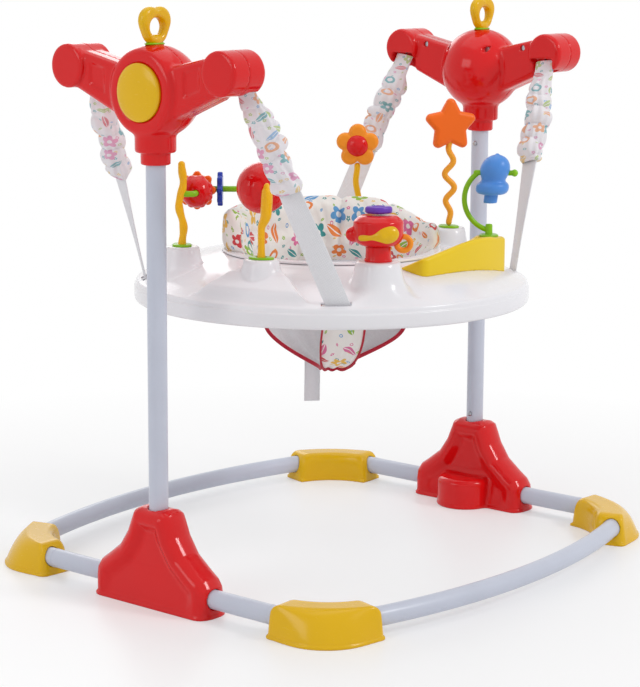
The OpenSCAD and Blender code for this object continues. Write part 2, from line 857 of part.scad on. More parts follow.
// Point at a distance s down a strap, and the strap's width and face directions there
function strap_at(s) = strap_top + strap_d * s;
function strap_wide(s) = let (t = ease(s / strap_len))
    square_to([0, 1, 0] * (1 - t) + [-sin(slot_a), cos(slot_a), 0] * t, strap_d);
function strap_face(s) = cross(strap_d, strap_wide(s));

// Ring of n points round a strap with half width a and half thickness b
function strap_ring(s, a, b, n) = [for (j = [0:n - 1])
    strap_at(s) + strap_wide(s) * a * cos(360 * j / n) + strap_face(s) * b * sin(360 * j / n)];

// Gathered fabric sleeve round a spring: flat where it leaves the head, then full gathers
module spring_sleeve(left, front) {
    sides = 12;
    rows = 2 * gather_n;
    bore = spring_d / 2 + 2 * soft_gap;
    bore_rows = 6;
    neck = sleeve_wall + gather_depth;
    bar_room = [web_w / 2 - soft_gap, bar_d / 2 + gather_depth];
    step = (gather_end - gather_start - gather_flat) / rows;
    outer = concat(
        [strap_ring(gather_start, web_w / 2, neck, sides)],
        [for (i = [0:rows]) let (full = i % 2 == 1, ends = i == 0 || i == rows)
            strap_ring(gather_start + gather_flat + i * step,
                ends ? web_w / 2 + sleeve_wall : gather_half_w - (full ? 0 : gather_depth),
                ends ? bore + sleeve_wall : gather_half_t - (full ? 0 : gather_depth), sides)]);
    bore_low = spring_end + 2 * cut;
    bore_high = gather_start + gather_flat;
    inner = concat(
        [for (s = [gather_end, bar_s - bar_d]) strap_ring(s, bar_room.x, bar_room.y, sides)],
        [for (i = [0:bore_rows])
            strap_ring(bore_low + (bore_high - bore_low) * i / bore_rows, bore, bore, sides)],
        [strap_ring(gather_start, web_w / 2 - gather_depth, neck - sleeve_wall, sides)]);
    color("white") placed(left, front) loop_loft(concat(outer, inner));
}

// Straight rod between two points
module rod(p, q, d) {
    v = q - p;
    translate(p) rotate([0, acos(v.z / norm(v)), atan2(v.y, v.x)]) cylinder(d = d, h = norm(v));
}

// Closed coil extension spring with an eye on the pin and a bar for the webbing
module suspension_springs() {
    wide = strap_wide(bar_s) * (web_w / 2 - gather_depth);
    eye_r = pin_d / 2 + seat_play + wire_d / 2;
    color("silver") for (left = [true, false], front = [true, false]) placed(left, front) {
        translate(strap_top) rotate([90, 0, 0]) rotate_extrude()
            translate([eye_r, 0]) circle(d = wire_d);
        rod(strap_at(eye_r), strap_at(spring_start + cut), wire_d);
        rod(strap_at(spring_start), strap_at(spring_end), spring_d);
        rod(strap_at(spring_end - cut), strap_at(bar_s), wire_d);
        rod(strap_at(bar_s) - wide, strap_at(bar_s) + wide, bar_d);
    }
}

// Rectangle of webbing across a strap
function web_section(s, t) = let (w = strap_wide(s) * web_w / 2, f = strap_face(s) * t / 2)
    [strap_at(s) + w + f, strap_at(s) - w + f, strap_at(s) - w - f, strap_at(s) + w - f];

module tray_straps() {
    steps = 8;
    color("whitesmoke") for (left = [true, false], front = [true, false]) placed(left, front)
        loft(concat(
            [for (i = [0:steps]) web_section(web_start + (web_hem - web_start) * i / steps, web_t)],
            [web_section(web_hem + seat_play, web_fold_t), web_section(web_end, web_fold_t)]));
}

// Plates under the tray that the webbing passes through
module strap_plates() {
    spot = strap_at(plate_s);
    color("dimgray") for (left = [true, false], front = [true, false]) placed(left, front)
        translate([spot.x, spot.y, plate_z]) rotate([0, 0, slot_a]) difference() {
            translate([-plate_half_w, -slot_l / 2 - plate_end, 0])
                cube([2 * plate_half_w, slot_l + 2 * plate_end, plate_t]);
            translate([-slot_w / 2, -slot_l / 2, -cut]) cube([slot_w, slot_l, plate_t + 2 * cut]);
        }
}

// Section of the tray's upper surface from the rim to the lip, drawn in by i
function tray_top(i) = concat(
    [for (k = [0:3]) let (inward = [i, i, i / 2, 0], down = [i / 2, i / 2, i, i])
        [tray_r - rim_points[k].x - inward[k], rim_h + rim_points[k].y - down[k]]],
    [for (p = lip_points) [hole_r + p.x, lip_h - p.y - i]]);

// Flared toy station, drawn in by i
module station(i) {
    curve = [[station_foot_r, rim_h - station_sink], [station_foot_r - station_sweep, rim_h + station_rise],
        [station_top_r + waist_out, rim_h + waist_up], [station_top_r, station_h - station_neck]];
    rotate_extrude() polygon(concat([[0, rim_h - station_sink - station_edge - i]],
        [for (t = [0:0.2:1]) bezier(curve, t) - [i, i / 2]],
        [[station_top_r - i, station_h - station_edge - i],
            [station_top_r - station_edge - i, station_h - i], [0, station_h - i]]));
}

module stations(i) {
    intersection() {
        for (a = station_angles) translate(polar(station_r, a)) station(i);
        difference() {
            cylinder(r = tray_r - i - cut, h = 2 * station_h);
            translate([0, 0, -cut])
                cylinder(r = hole_r + lip_points[3].x - cut + i, h = 2 * station_h + 2 * cut);
        }
    }
}

// The tray's outside, as a filled form
module tray_form() {
    rotate_extrude() polygon(concat([[hole_r, 0], [tray_r, 0]], tray_top(0),
        [[hole_r + lip_edge, lip_h], [hole_r, lip_h - lip_edge]]));
    stations(0);
}

module tray_shell() {
    skirt = lip_h - skirt_h;
    color("white") translate([0, 0, tray_z]) difference() {
        tray_form();
        rotate_extrude() polygon(concat([[hole_r - cut, -cut], [tray_r - tray_wall, -cut]],
            tray_top(tray_wall),
            [[hole_r + tray_wall, lip_h - tray_wall - lip_points[3].y], [hole_r + tray_wall, skirt],
                [hole_r - cut, skirt]]));
        stations(tray_wall);
        for (x = [-1, 1], y = [-1, 1])
            rotate([0, 0, atan2(y * sin(slot_a), x * cos(slot_a))])
                translate([slot_r - slot_w / 2, -slot_l / 2, rim_h - slot_w])
                cube([slot_w, slot_l, lip_h]);
    }
}

// Leaf shaped disc with a hole for a stem of the diameter d
module leaf_base(d) {
    difference() {
        union() {
            cylinder(r = leaf_r * 0.8, h = leaf_t);
            for (k = [-1, 1]) translate([0, k * leaf_r * 0.5, 0])
                cylinder(r = leaf_r * 0.55, h = leaf_t);
        }
        if (d > 0)
            translate([0, 0, -cut]) cylinder(d = d + 2 * ring_gap, h = leaf_t + 2 * cut);
    }
}

// Leaf shaped discs at the feet of the stems
module leaf_bases() {
    spots = [[bead_a, post_d], [ball_a, 2 * paddle_r], [star_a, 0], [flower_a, 0]];
    color("yellowgreen") {
        for (s = spots) translate(polar(station_r, s[0], station_z)) rotate([0, 0, s[0]])
            leaf_base(s[1]);
        swing_frame() leaf_base(swing_post_d);
    }
}

// Sideways wave of the bead post at a share t of its height
function post_shift(t) = post_wave * sin(540 * t) * sin(180 * t);

module bead_post() {
    steps = 14;
    color("gold") translate(polar(station_r, bead_a, station_z)) stem(
        [for (i = [0:steps]) let (t = i / steps) [post_shift(t), -post_shift(t), post_h * t]],
        [for (i = [0:steps]) i == steps ? post_d * 0.3 : post_d / 2]);
}

// Place on the bead branch: across and back as the tray is seen from its front left
module branch_frame() {
    translate(polar(station_r, bead_a, station_z + branch_h)) rotate([0, 0, fwd_a - 90]) children();
}

module bead_branch() {
    arm_len = branch_len - bead_out;
    across = cos(fwd_a - 90) - sin(fwd_a - 90);
    start = round(100 * (post_d / 2 + ring_gap + post_shift(branch_h / post_h) * across)) / 100;
    color("yellowgreen") branch_frame() {
        translate([start, 0, 0]) rotate([0, 90, 0])
            cylinder(d = branch_d, h = bead_out - bend_r - start);
        translate([bead_out - bend_r, bend_r, 0]) rotate([0, 0, -90])
            rotate_extrude(angle = 90) translate([bend_r, 0]) circle(d = branch_d);
        translate([bead_out, bend_r, 0]) rotate([-90, 0, 0])
            cylinder(d = branch_d, h = branch_back - 2 * bend_r);
        translate([bead_out + bend_r, branch_back - bend_r, 0]) rotate([0, 0, 90])
            rotate_extrude(angle = 90) translate([bend_r, 0]) circle(d = branch_d);
        translate([bead_out + bend_r, branch_back, 0]) rotate([0, 90, 0])
            cylinder(d = branch_d, h = arm_len - bend_r);
        translate([branch_len, branch_back, 0]) sphere(d = branch_d * 1.5);
    }
}

// Toothed wheel of thickness t about Z
module toothed_wheel(r, t) {
    linear_extrude(t, center = true) {
        circle(r = r * 0.82);
        for (k = [0:wheel_teeth - 1]) rotate(360 * k / wheel_teeth)
            translate([r * 0.8, 0]) circle(r = r * 0.2);
    }
}

module red_bead() {
    bore = branch_d + 2 * toy_play;
    color("red") branch_frame() translate([bead_out, bead_mid, 0]) rotate([-90, 0, 0]) difference() {
        union() {
            sphere(r = bead_r);
            translate([0, 0, bead_r * 0.55 + wheel_t / 2]) toothed_wheel(wheel_r, wheel_t);
        }
        cylinder(d = bore, h = 4 * bead_r, center = true);
    }
}

module blue_wheel() {
    color("royalblue") branch_frame() translate([blue_out, branch_back, 0]) rotate([0, 90, 0])
        difference() {
            toothed_wheel(wheel_r, wheel_t * 0.8);
            cylinder(d = branch_d + 2 * toy_play, h = 2 * wheel_t, center = true);
        }
}

// Bent stem with the axle of the spinning ball
module ball_frame() {
    translate(polar(station_r, ball_a, station_z)) rotate([0, 0, fwd_a - 90]) children();
}

module ball_stem() {
    path = [[0, 0, 0], [0, 0, 2 * leaf_t], [0, 0, 5 * leaf_t],
        [0, 0, knee_h - knee_len * 0.4], [stem_shift * 0.1, 0, knee_h],
        [stem_shift * 0.9, 0, knee_h + knee_len * 0.6], [stem_shift, 0, knee_h + knee_len],
        [stem_shift, 0, ball_axle_h + tip_h * 0.2], [stem_shift, 0, ball_axle_h + tip_h * 0.8],
        [stem_shift, 0, ball_axle_h + tip_h]];
    shares = [1, 0.85, 0.7, 0.7, 0.72, 1, 1, 1, 0.75, 0.35];
    color("gold") ball_frame() {
        stem(path, paddle_r * shares);
        rod([stem_shift, 0, ball_axle_h],
            [stem_shift, 0, ball_axle_h] + unit([-stem_shift, ball_back, 0]) * (ball_back + axle_reach),
            axle_d);
    }
}

module spin_ball() {
    dir = [-stem_shift, ball_back, 0];
    far = unit(dir) * (norm(dir) + axle_reach + ring_gap);
    color("red") ball_frame() translate([stem_shift, 0, ball_axle_h]) difference() {
        translate(unit(dir) * ball_back) sphere(r = spin_ball_r);
        rod([0, 0, 0], far, axle_d + 2 * toy_play);
    }
}

// Flower or star that stands on its stem and faces the angle a
module facing(station_angle, h, a) {
    translate(polar(station_r, station_angle, station_z + h)) rotate([90, 0, a + 90])
        linear_extrude(petal_t, center = true) children();
}

module flower_head() {
    color("orange") facing(flower_a, flower_h, flower_face_a) {
        circle(r = flower_r * 0.62);
        for (k = [0:5]) rotate(60 * k + 30) translate([flower_r * 0.62, 0])
            circle(r = flower_r * 0.38);
    }
}

// Swaying stem on a round foot, whose middle is the sway axis
module sway_stem(angle, r, top, waves, wave) {
    steps = 8 * waves;
    foot = leaf_t + ring_gap + r;
    color("orange") translate(polar(station_r, angle, station_z + foot)) stem(
        concat([[0, 0, -0.95 * r], [0, 0, -0.7 * r]],
            [for (i = [0:steps])
                let (t = i / steps, w = wave * sin(360 * waves * t) * sin(180 * t))
                w * polar(1, fwd_a - 90) + [0, 0, (top - foot) * t]]),
        concat([0.3 * r, 0.7 * r], [for (i = [0:steps]) r]));
}

module flower_stem() {
    sway_stem(flower_a, stem_d / 2, flower_h - flower_r - ring_gap, 1, flower_wave);
}

module star_head() {
    color("darkorange") facing(star_a, star_h, star_face_a) polygon([for (k = [0:9])
        let (r = k % 2 == 0 ? star_r : star_r * star_in) [r * sin(36 * k), r * cos(36 * k)]]);
}

module star_stem() {
    r = stem_d * 0.45;
    notch = r * (cos(36) - star_in) / sin(36);
    sway_stem(star_a, r, star_h - star_r * star_in - notch - 2 * ring_gap, 2, star_wave);
}

module spinner_base() {
    color("crimson") translate(polar(station_r, spinner_a, station_z)) {
        cylinder(r = spinner_base_r, h = spinner_base_h);
        cylinder(d = axle_d, h = spinner_base_h + spinner_h - 1.5 * spinner_cap);
    }
}

module spinner_body() {
    nose = spinner_len / 2 - nose_r;
    color("red") translate(polar(station_r, spinner_a, station_z + spinner_base_h + ring_gap))
        rotate([0, 0, fwd_a - 90]) difference() {
            union() {
                rotate_extrude() polygon([[0, 0], [spinner_r * 0.7, 0], [spinner_r, spinner_h * 0.2],
                    [spinner_r, spinner_h * 0.62], [spinner_r * 0.8, spinner_h * 0.88],
                    [spinner_r * 0.55, spinner_h], [0, spinner_h]]);
                translate([-nose, 0, spinner_h * 0.34]) sphere(r = nose_r);
                translate([nose - ear_t / 2, 0, spinner_h * 0.46]) rotate([90, 0, 0])
                    rotate_extrude() translate([ear_r, 0]) circle(d = ear_t);
            }
            translate([0, 0, -cut]) cylinder(d = axle_d + 2 * toy_play, h = spinner_h - spinner_cap);
            translate([0, 0, spinner_h - spinner_cap]) cylinder(d = axle_d + 2 * toy_play, h = spinner_h);
        }
}

module spinner_rotor() {
    color("mediumpurple")
        translate(polar(station_r, spinner_a, station_z + spinner_base_h + spinner_h + 2 * ring_gap))
        rotate([0, 0, fwd_a - 90]) {
            cylinder(r = rotor_r * 0.8, h = rotor_h);
            for (s = [-1, 1]) translate([s * rotor_r * 0.5, 0, 0])
                cylinder(r = rotor_r * 0.5, h = rotor_h);
            translate([0, 0, cut - spinner_cap]) cylinder(d = axle_d, h = spinner_cap);
        }
}

// Plan of the music pod between the seat opening and its outer arc
module pod_plan() {
    difference() {
        intersection() {
            translate([pod_mid_x, pod_front_y + pod_arc_r]) circle(r = pod_arc_r, $fn = 96);
            translate([pod_x0, pod_front_y - cut]) square([pod_x1 - pod_x0, pod_in_r * 0.75]);
        }
        circle(r = pod_in_r);
    }
}

module music_pod() {
    color("gold") difference() {
        intersection() {
            translate([0, 0, tray_z + pod_foot]) linear_extrude(2 * pod_high_h) pod_plan();
            translate([0, 0, tray_z]) rotate([90, 0, 0]) linear_extrude(-2 * pod_front_y)
                polygon([[pod_x0, 0], [pod_x0, pod_low_h], [pod_x1 - pod_flat, pod_high_h],
                    [pod_x1, pod_high_h], [pod_x1, 0]]);
        }
        translate([0, 0, tray_z + ring_gap]) tray_form();
    }
}

// Swing toy: local X points away from the middle of the tray, on top of the pod
module swing_frame() {
    translate([swing_spot.x, swing_spot.y, pod_z]) rotate([0, 0, swing_a]) children();
}

module swing_arm() {
    color("yellowgreen") swing_frame() {
        cylinder(d = swing_post_d, h = swing_post_h);
        translate([arc_x, 0, swing_axle_h - arc_drop]) rotate([90, 0, 0]) rotate([0, 0, arc_from_a])
            rotate_extrude(angle = arc_sweep_a) translate([arc_r, 0]) circle(d = arm_rod_d);
        translate([swing_shift - swing_half, 0, swing_axle_h]) rotate([0, 90, 0])
            cylinder(d = arm_rod_d, h = 2 * swing_half);
        translate([swing_shift + swing_half, 0, swing_axle_h]) sphere(d = swing_tip_d);
    }
}

module swing_toy() {
    color("dodgerblue") swing_frame() translate([swing_shift, 0, swing_axle_h]) difference() {
        union() {
            translate([0, 0, dome_rise]) sphere(r = swing_r);
            rotate_extrude() polygon([[0, 0], [swing_r * 0.6, 0], [swing_r * 0.62, -neck_low],
                [swing_r, -brim_high], [swing_r, -brim_low], [swing_r * 0.46, -foot_high],
                [swing_r * 0.46, -foot_low], [0, -foot_low]]);
        }
        rotate([0, 90, 0]) cylinder(d = arm_rod_d + 2 * toy_play, h = 4 * swing_r, center = true);
    }
}

module seat_ring() {
    top = lip_z + ring_gap;
    color("white") rotate_extrude() polygon([
        [ring_in_r, ring_low_z], [ring_r, ring_low_z], [ring_r, top], [flange_out_r, top],
        [flange_out_r, top + ring_flange_t - flange_edge],
        [flange_out_r - flange_edge, top + ring_flange_t],
        [ring_in_r, top + ring_flange_t]]);
}

module seat_retainer() {
    color("gainsboro") translate([0, 0, lip_z - skirt_h - ring_gap - retain_t]) difference() {
        cylinder(r = hole_r + retain_over, h = retain_t);
        translate([0, 0, -cut]) cylinder(r = ring_r + seat_play, h = retain_t + 2 * cut);
    }
}

// Padded back: a crowned roll round the rear of the seat, drawn in at its sewn channels
module seat_pad() {
    steps = pad_channels * pad_steps;
    color("white") rotate([0, 0, seat_a + 180]) loft([for (i = [0:steps])
        let (t = i / steps, a = pad_sweep * (2 * t - 1),
            seam = abs(cos(180 * pad_channels * t)),
            end = min(1, 0.35 + 9 * min(t, 1 - t)),
            thick = pad_t / 2 * (1 - channel_in * pow(seam, 6)) * end,
            high = pad_half_h * (1 - channel_down * pow(seam, 6)) * (0.55 + 0.45 * end))
        [for (j = [0:pad_sides - 1])
            let (f = 360 * j / pad_sides, c = cos(f), s = sin(f),
                roll = pad_roll * (s > 0.3 ? s * s : 0) * end)
            polar(pad_r + thick * sign(c) * pow(abs(c), 0.75) + roll, a,
                pad_mid_z - pad_half_h + high + high * sign(s) * pow(abs(s), 0.75))]]);
}

// Sling: u runs from the front edge at -1 under the child to the back edge at 1
function sling_half_w(u) = u < 0
    ? crotch_half_w + (front_half_w - crotch_half_w) * ease(-u * 1.4) + front_flare * ease(-4 * u - 3)
    : crotch_half_w + (back_half_w - crotch_half_w) * ease(u * 1.15);
function sling_point(u, v, lift) =
    let (g = v * sling_half_w(u), f = abs(u),
        edge = u < 0 ? sqrt(pow(sling_front_r, 2) - g * g) : -sqrt(pow(sling_back_r, 2) - g * g),
        top = u < 0 ? sling_front_z : sling_top_z,
        run = pow(f, sling_run), rise = pow(f, sling_rise),
        fold = u < 0 ? 0 : fold_h * cos(360 * fold_n * v) * ease(2 * u) * ease(4 * (1 - u)),
        slope = atan2(sling_rise * (top - sling_z), abs(edge) * 1.1) * f)
    [sling_mid * (1 - run) + edge * run - sign(u) * lift * sin(slope), g,
        sling_z + (top - sling_z) * rise + fold + lift * cos(slope)];

module seat_sling() {
    color("gainsboro") rotate([0, 0, seat_a]) loft([for (i = [-sling_rows:sling_rows])
        let (u = i / sling_rows)
        concat([for (j = [0:sling_cols]) sling_point(u, 1 - 2 * j / sling_cols, sling_t)],
            [for (j = [0:sling_cols]) sling_point(u, 2 * j / sling_cols - 1, 0)])]);
}

module tail_strap() {
    spot = sling_point(tail_row, tail_side / sling_half_w(tail_row), 0);
    top = spot.z - fold_h - soft_gap;
    color("whitesmoke") rotate([0, 0, seat_a])
        translate([spot.x, tail_side - tail_w / 2, tail_z]) cube([tail_t, tail_w, top - tail_z]);
}

// Sub-parts that are copies of one form
module base_tube_front_left() {
    base_tube(true, false);
}
module base_tube_front_right() {
    base_tube(false, false);
}
module base_tube_back_left() {
    base_tube(false, true);
}
module base_tube_back_right() {
    base_tube(true, true);
}
module corner_foot_front_left() {
    corner_foot(true, true);
}
module corner_foot_front_right() {
    corner_foot(false, true);
}
module corner_foot_back_left() {
    corner_foot(true, false);
}
module corner_foot_back_right() {
    corner_foot(false, false);
}
module sleeve_front_left() {
    spring_sleeve(true, true);
}
module sleeve_front_right() {
    spring_sleeve(false, true);
}
module sleeve_back_left() {
    spring_sleeve(true, false);
}
module sleeve_back_right() {
    spring_sleeve(false, false);
}
module foot_frame_left() {
    foot_frame(true);
}
module foot_frame_right() {
    foot_frame(false);
}
module foot_housing_left() {
    foot_housing(true);
}
module foot_housing_right() {
    foot_housing(false);
}
module upright_left() {
    upright(true);
}
module upright_right() {
    upright(false);
}
module head_stub_left() {
    head_stub(true);
}
module head_stub_right() {
    head_stub(false);
}
module head_outer_shell_left() {
    head_half(true, 1);
}
module head_outer_shell_right() {
    head_half(false, 1);
}
module head_inner_shell_left() {
    head_half(true, -1);
}
module head_inner_shell_right() {
    head_half(false, -1);
}
module snap_button_base_front() {
    long_side_button(false);
}
module snap_button_base_back() {
    long_side_button(true);
}
module snap_button_lower_left() {
    upright_button(true, lower_button_z);
}
module snap_button_lower_right() {
    upright_button(false, lower_button_z);
}
module snap_button_upper_left() {
    upright_button(true, upper_button_z);
}
module snap_button_upper_right() {
    upright_button(false, upper_button_z);
}

base_tube_front_left();
base_tube_front_right();
base_tube_back_left();
base_tube_back_right();
foot_frame_left();
foot_frame_right();
corner_foot_front_left();
corner_foot_front_right();
corner_foot_back_left();
corner_foot_back_right();
foot_housing_left();
foot_housing_right();
upright_left();
upright_right();
head_stub_left();
head_stub_right();
head_outer_shell_left();
head_outer_shell_right();
head_inner_shell_left();
head_inner_shell_right();
head_covers();
heart_loops();
head_screws();
strap_pins();
sleeve_front_left();
sleeve_front_right();
sleeve_back_left();
sleeve_back_right();
suspension_springs();
tray_straps();
strap_plates();
snap_button_base_front();
snap_button_base_back();
snap_button_lower_left();
snap_button_lower_right();
snap_button_upper_left();
snap_button_upper_right();
tray_shell();
leaf_bases();
bead_post();
bead_branch();
ball_stem();
music_pod();
spinner_base();
swing_arm();
seat_ring();
seat_retainer();
seat_sling();
seat_pad();
tail_strap();
red_bead();
blue_wheel();
spin_ball();
flower_stem();
flower_head();
star_stem();
star_head();
spinner_body();
spinner_rotor();
swing_toy();
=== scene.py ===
import json
from functools import partial
from math import atan2, cos, degrees, hypot, pi, radians, sin

import bpy
import numpy as np
from mathutils import Matrix, Vector


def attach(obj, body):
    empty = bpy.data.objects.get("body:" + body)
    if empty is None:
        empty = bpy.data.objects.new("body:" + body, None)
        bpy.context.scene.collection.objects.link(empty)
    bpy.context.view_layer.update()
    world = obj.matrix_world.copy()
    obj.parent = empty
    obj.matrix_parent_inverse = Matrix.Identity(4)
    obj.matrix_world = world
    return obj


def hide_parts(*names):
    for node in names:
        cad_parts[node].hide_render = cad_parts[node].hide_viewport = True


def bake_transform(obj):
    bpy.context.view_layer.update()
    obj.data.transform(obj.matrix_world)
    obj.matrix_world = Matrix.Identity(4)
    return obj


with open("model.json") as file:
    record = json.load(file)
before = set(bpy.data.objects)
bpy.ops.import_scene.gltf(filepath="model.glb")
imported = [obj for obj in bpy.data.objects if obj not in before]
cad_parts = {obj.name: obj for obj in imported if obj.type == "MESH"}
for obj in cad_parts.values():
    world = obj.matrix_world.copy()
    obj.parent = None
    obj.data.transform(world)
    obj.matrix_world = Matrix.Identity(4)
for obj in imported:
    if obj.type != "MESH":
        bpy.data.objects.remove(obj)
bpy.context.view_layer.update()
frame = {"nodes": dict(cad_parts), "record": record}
scene = bpy.context.scene
MM = 0.001
TURN = 2 * pi
SIDES = (("left", -1), ("right", 1))
ENDS = (("front", -1), ("back", 1))


# Distance functions, in millimetres: p is an array of points, negative is inside
def join(a, b, k):
    h = np.clip(0.5 + 0.5 * (b - a) / k, 0, 1)
    return b + (a - b) * h - k * h * (1 - h)


def both(a, b, k):
    return -join(-a, -b, k)


def cut(a, b, k):
    return -join(-a, b, k)


def size_of(v):
    return np.linalg.norm(v, axis=1)


def ball(p, centre, r):
    return size_of(p - centre) - r


def rod(p, a, b, ra, rb=None):
    a, b = np.array(a, float), np.array(b, float)
    rb = ra if rb is None else rb
    t = np.clip((p - a) @ (b - a) / ((b - a) @ (b - a)), 0, 1)
    return size_of(p - a - t[:, None] * (b - a)) - ra - (rb - ra) * t


def rounded(d, e, edge):
    """Where two distances meet square, with a rounded edge."""
    q = np.stack([d + edge, e + edge], 1)
    return size_of(np.maximum(q, 0)) + np.minimum(q.max(1), 0) - edge


def drum(p, centre, axis, half, r, edge):
    q = p - centre
    side = [i for i in range(3) if i != axis]
    return rounded(np.hypot(q[:, side[0]], q[:, side[1]]) - r, np.abs(q[:, axis]) - half, edge)


def bore(p, axis, r):
    """An axle's hole, right through a toy."""
    return drum(p, (0, 0, 0), axis, 60, r, 0.5)


def block(p, centre, half, edge):
    q = np.abs(p - centre) - half + edge
    return size_of(np.maximum(q, 0)) + np.minimum(q.max(1), 0) - edge


def outline(x, y, points):
    """Signed distance to a closed polygon."""
    pts = np.array(points, float)
    q = np.stack([x, y], 1)
    best = np.full(len(q), np.inf)
    sign = np.ones(len(q))
    for a, b in zip(pts, np.roll(pts, -1, axis=0)):
        e, w = b - a, q - a
        t = np.clip(w @ e / (e @ e), 0, 1)
        best = np.minimum(best, ((w - t[:, None] * e) ** 2).sum(1))
        side = e[0] * w[:, 1] - e[1] * w[:, 0] > 0
        above, below = q[:, 1] >= a[1], q[:, 1] < b[1]
        flips = (above & below & side) | (~above & ~below & ~side)
        sign[flips] *= -1
    return sign * np.sqrt(best)


def ease(t):
    t = np.clip(t, 0, 1)
    return t * t * (3 - 2 * t)


def curve(points, n):
    """n points along a smooth curve through the given ones."""
    pts = np.array(points, float)
    ends = np.vstack([2 * pts[0] - pts[1], pts, 2 * pts[-1] - pts[-2]])
    out = []
    for t in np.linspace(0, len(pts) - 1, n):
        i = min(int(t), len(pts) - 2)
        f = t - i
        a, b, c, d = ends[i : i + 4]
        bend = 2 * a - 5 * b + 4 * c - d + f * (3 * (b - c) + d - a)
        out.append(b + 0.5 * f * (c - a + f * bend))
    return np.array(out)


# Meshes: a shape is a pair of points and faces
NET_PART = 200000
NUDGE = 0.1


def net(sdf, lo, hi, step):
    """Smooth quad mesh of the surface where sdf is zero."""
    axes = [np.arange(a - 1.5 * step, b + 2.5 * step, step) for a, b in zip(lo, hi)]
    grid = np.stack(np.meshgrid(*axes, indexing="ij"), -1)
    flat = grid.reshape(-1, 3)
    parts = np.array_split(flat, len(flat) // NET_PART + 1)
    d = np.concatenate([sdf(part) for part in parts]).reshape(grid.shape[:3])
    n = np.array(d.shape) - 1
    corners = np.argwhere(np.ones((2, 2, 2)))
    inside = d < 0
    count = sum(inside[tuple(map(slice, c, c + n))].astype(int) for c in corners)
    active = (count > 0) & (count < 8)
    cells = np.argwhere(active)
    index = np.full(n, -1)
    index[active] = np.arange(len(cells))
    total = np.zeros((len(cells), 3))
    hits = np.zeros(len(cells))
    for a in corners:
        for b in corners:
            if (b - a).sum() == 1 and (b >= a).all():
                da, db = d[tuple((cells + a).T)], d[tuple((cells + b).T)]
                crossed = (da < 0) != (db < 0)
                t = np.where(crossed, da / np.where(crossed, da - db, 1), 0)
                total += crossed[:, None] * (a + t[:, None] * (b - a))
                hits += crossed
    points = (cells + total / hits[:, None]) * step + np.array([a[0] for a in axes])
    quads = []
    for axis in range(3):
        u, v = (axis + 1) % 3, (axis + 2) % 3
        first = np.take(inside, range(n[axis]), axis)
        second = np.take(inside, range(1, n[axis] + 1), axis)
        spots = np.argwhere(first != second)
        low, high = spots[:, [u, v]].min(1) > 0, (spots[:, [u, v]] < n[[u, v]]).all(1)
        spots = spots[low & high]
        du, dv = np.eye(3, dtype=int)[u], np.eye(3, dtype=int)[v]
        quad = np.stack([index[tuple((spots - s).T)] for s in (0 * du, du, du + dv, dv)], 1)
        out = first[tuple(spots.T)]
        quads.append(np.where(out[:, None], quad, quad[:, ::-1]))
    for _ in range(3):
        value = sdf(points)
        rises = [sdf(points + e) - sdf(points - e) for e in np.eye(3) * NUDGE]
        slope = np.stack(rises, 1) / (2 * NUDGE)
        size = np.maximum((slope**2).sum(1), 0.1)
        points = points - np.clip(value / size, -step / 2, step / 2)[:, None] * slope
    return points, np.concatenate(quads)


def grid_faces(rows, cols, closed_cols=False, closed_rows=False):
    r = np.arange(rows if closed_rows else rows - 1)
    c = np.arange(cols if closed_cols else cols - 1)
    i, j = [a.ravel() for a in np.meshgrid(r, c, indexing="ij")]
    k, m = (i + 1) % rows, (j + 1) % cols
    return np.stack([i * cols + j, i * cols + m, k * cols + m, k * cols + j], 1)


def capped(rows, cols):
    """Faces of a closed strap: its sides and both ends."""
    ends = [[*range(cols)][::-1], [*range((rows - 1) * cols, rows * cols)]]
    return grid_faces(rows, cols, True).tolist() + ends


def lathe(profile, n=64):
    """Turned about Z: the profile runs from the axis or edge upwards on the outside."""
    r, z = np.array(profile, float).T
    a = np.linspace(0, TURN, n, endpoint=False)
    verts = np.stack([np.outer(r, np.cos(a)), np.outer(r, np.sin(a)), np.outer(z, 0 * a + 1)], -1)
    return verts.reshape(-1, 3), grid_faces(len(r), n, True)


def sweep(path, radii, sides=20, flat=1.0, wide=(0, 0, 1)):
    """Round rod along a path, of one radius or many; flat squeezes it square to wide."""
    path = np.array(path, float)
    radii = np.broadcast_to(np.array(radii, float), len(path))
    along = np.gradient(path, axis=0)
    along /= size_of(along)[:, None]
    cap = np.linspace(0, pi / 2, 6)
    first = [path[0] - along[0] * radii[0] * cos(c) for c in cap[:-1]]
    last = [path[-1] + along[-1] * radii[-1] * sin(c) for c in cap[1:]]
    r = np.concatenate([radii[0] * np.sin(cap[:-1]), radii, radii[-1] * np.cos(cap[1:])])
    spine = np.vstack([first, path, last])
    tangent = np.vstack([[along[0]] * len(first), along, [along[-1]] * len(last)])
    up = np.array(wide, float)
    a = np.linspace(0, TURN, sides, endpoint=False)
    verts = []
    for centre, t, size in zip(spine, tangent, r):
        w = up - t * (up @ t)
        w /= np.linalg.norm(w)
        up = w
        b = np.cross(t, w)
        verts.append(centre + size * (np.outer(np.cos(a), w) + flat * np.outer(np.sin(a), b)))
    return np.concatenate(verts), grid_faces(len(spine), sides, True)


def turned(verts, a):
    c, s = cos(radians(a)), sin(radians(a))
    return verts @ np.array([[c, s, 0], [-s, c, 0], [0, 0, 1]])


def moved(shape, by):
    return shape[0] + by, shape[1]


def placed(shape, origin, a):
    return moved((turned(shape[0], a), shape[1]), origin)


def mirrored(shape, flip):
    """The shape times 1 or -1 along each axis, with its faces still outwards."""
    verts, faces = shape
    if np.prod(flip) < 0:
        faces = faces[:, ::-1] if isinstance(faces, np.ndarray) else [face[::-1] for face in faces]
    return verts * np.array(flip), faces


def merged(*shapes):
    verts, faces, base = [], [], 0
    for v, f in shapes:
        verts.append(v)
        faces.append(np.asarray(f) + base)
        base += len(v)
    return np.concatenate(verts), np.concatenate(faces)


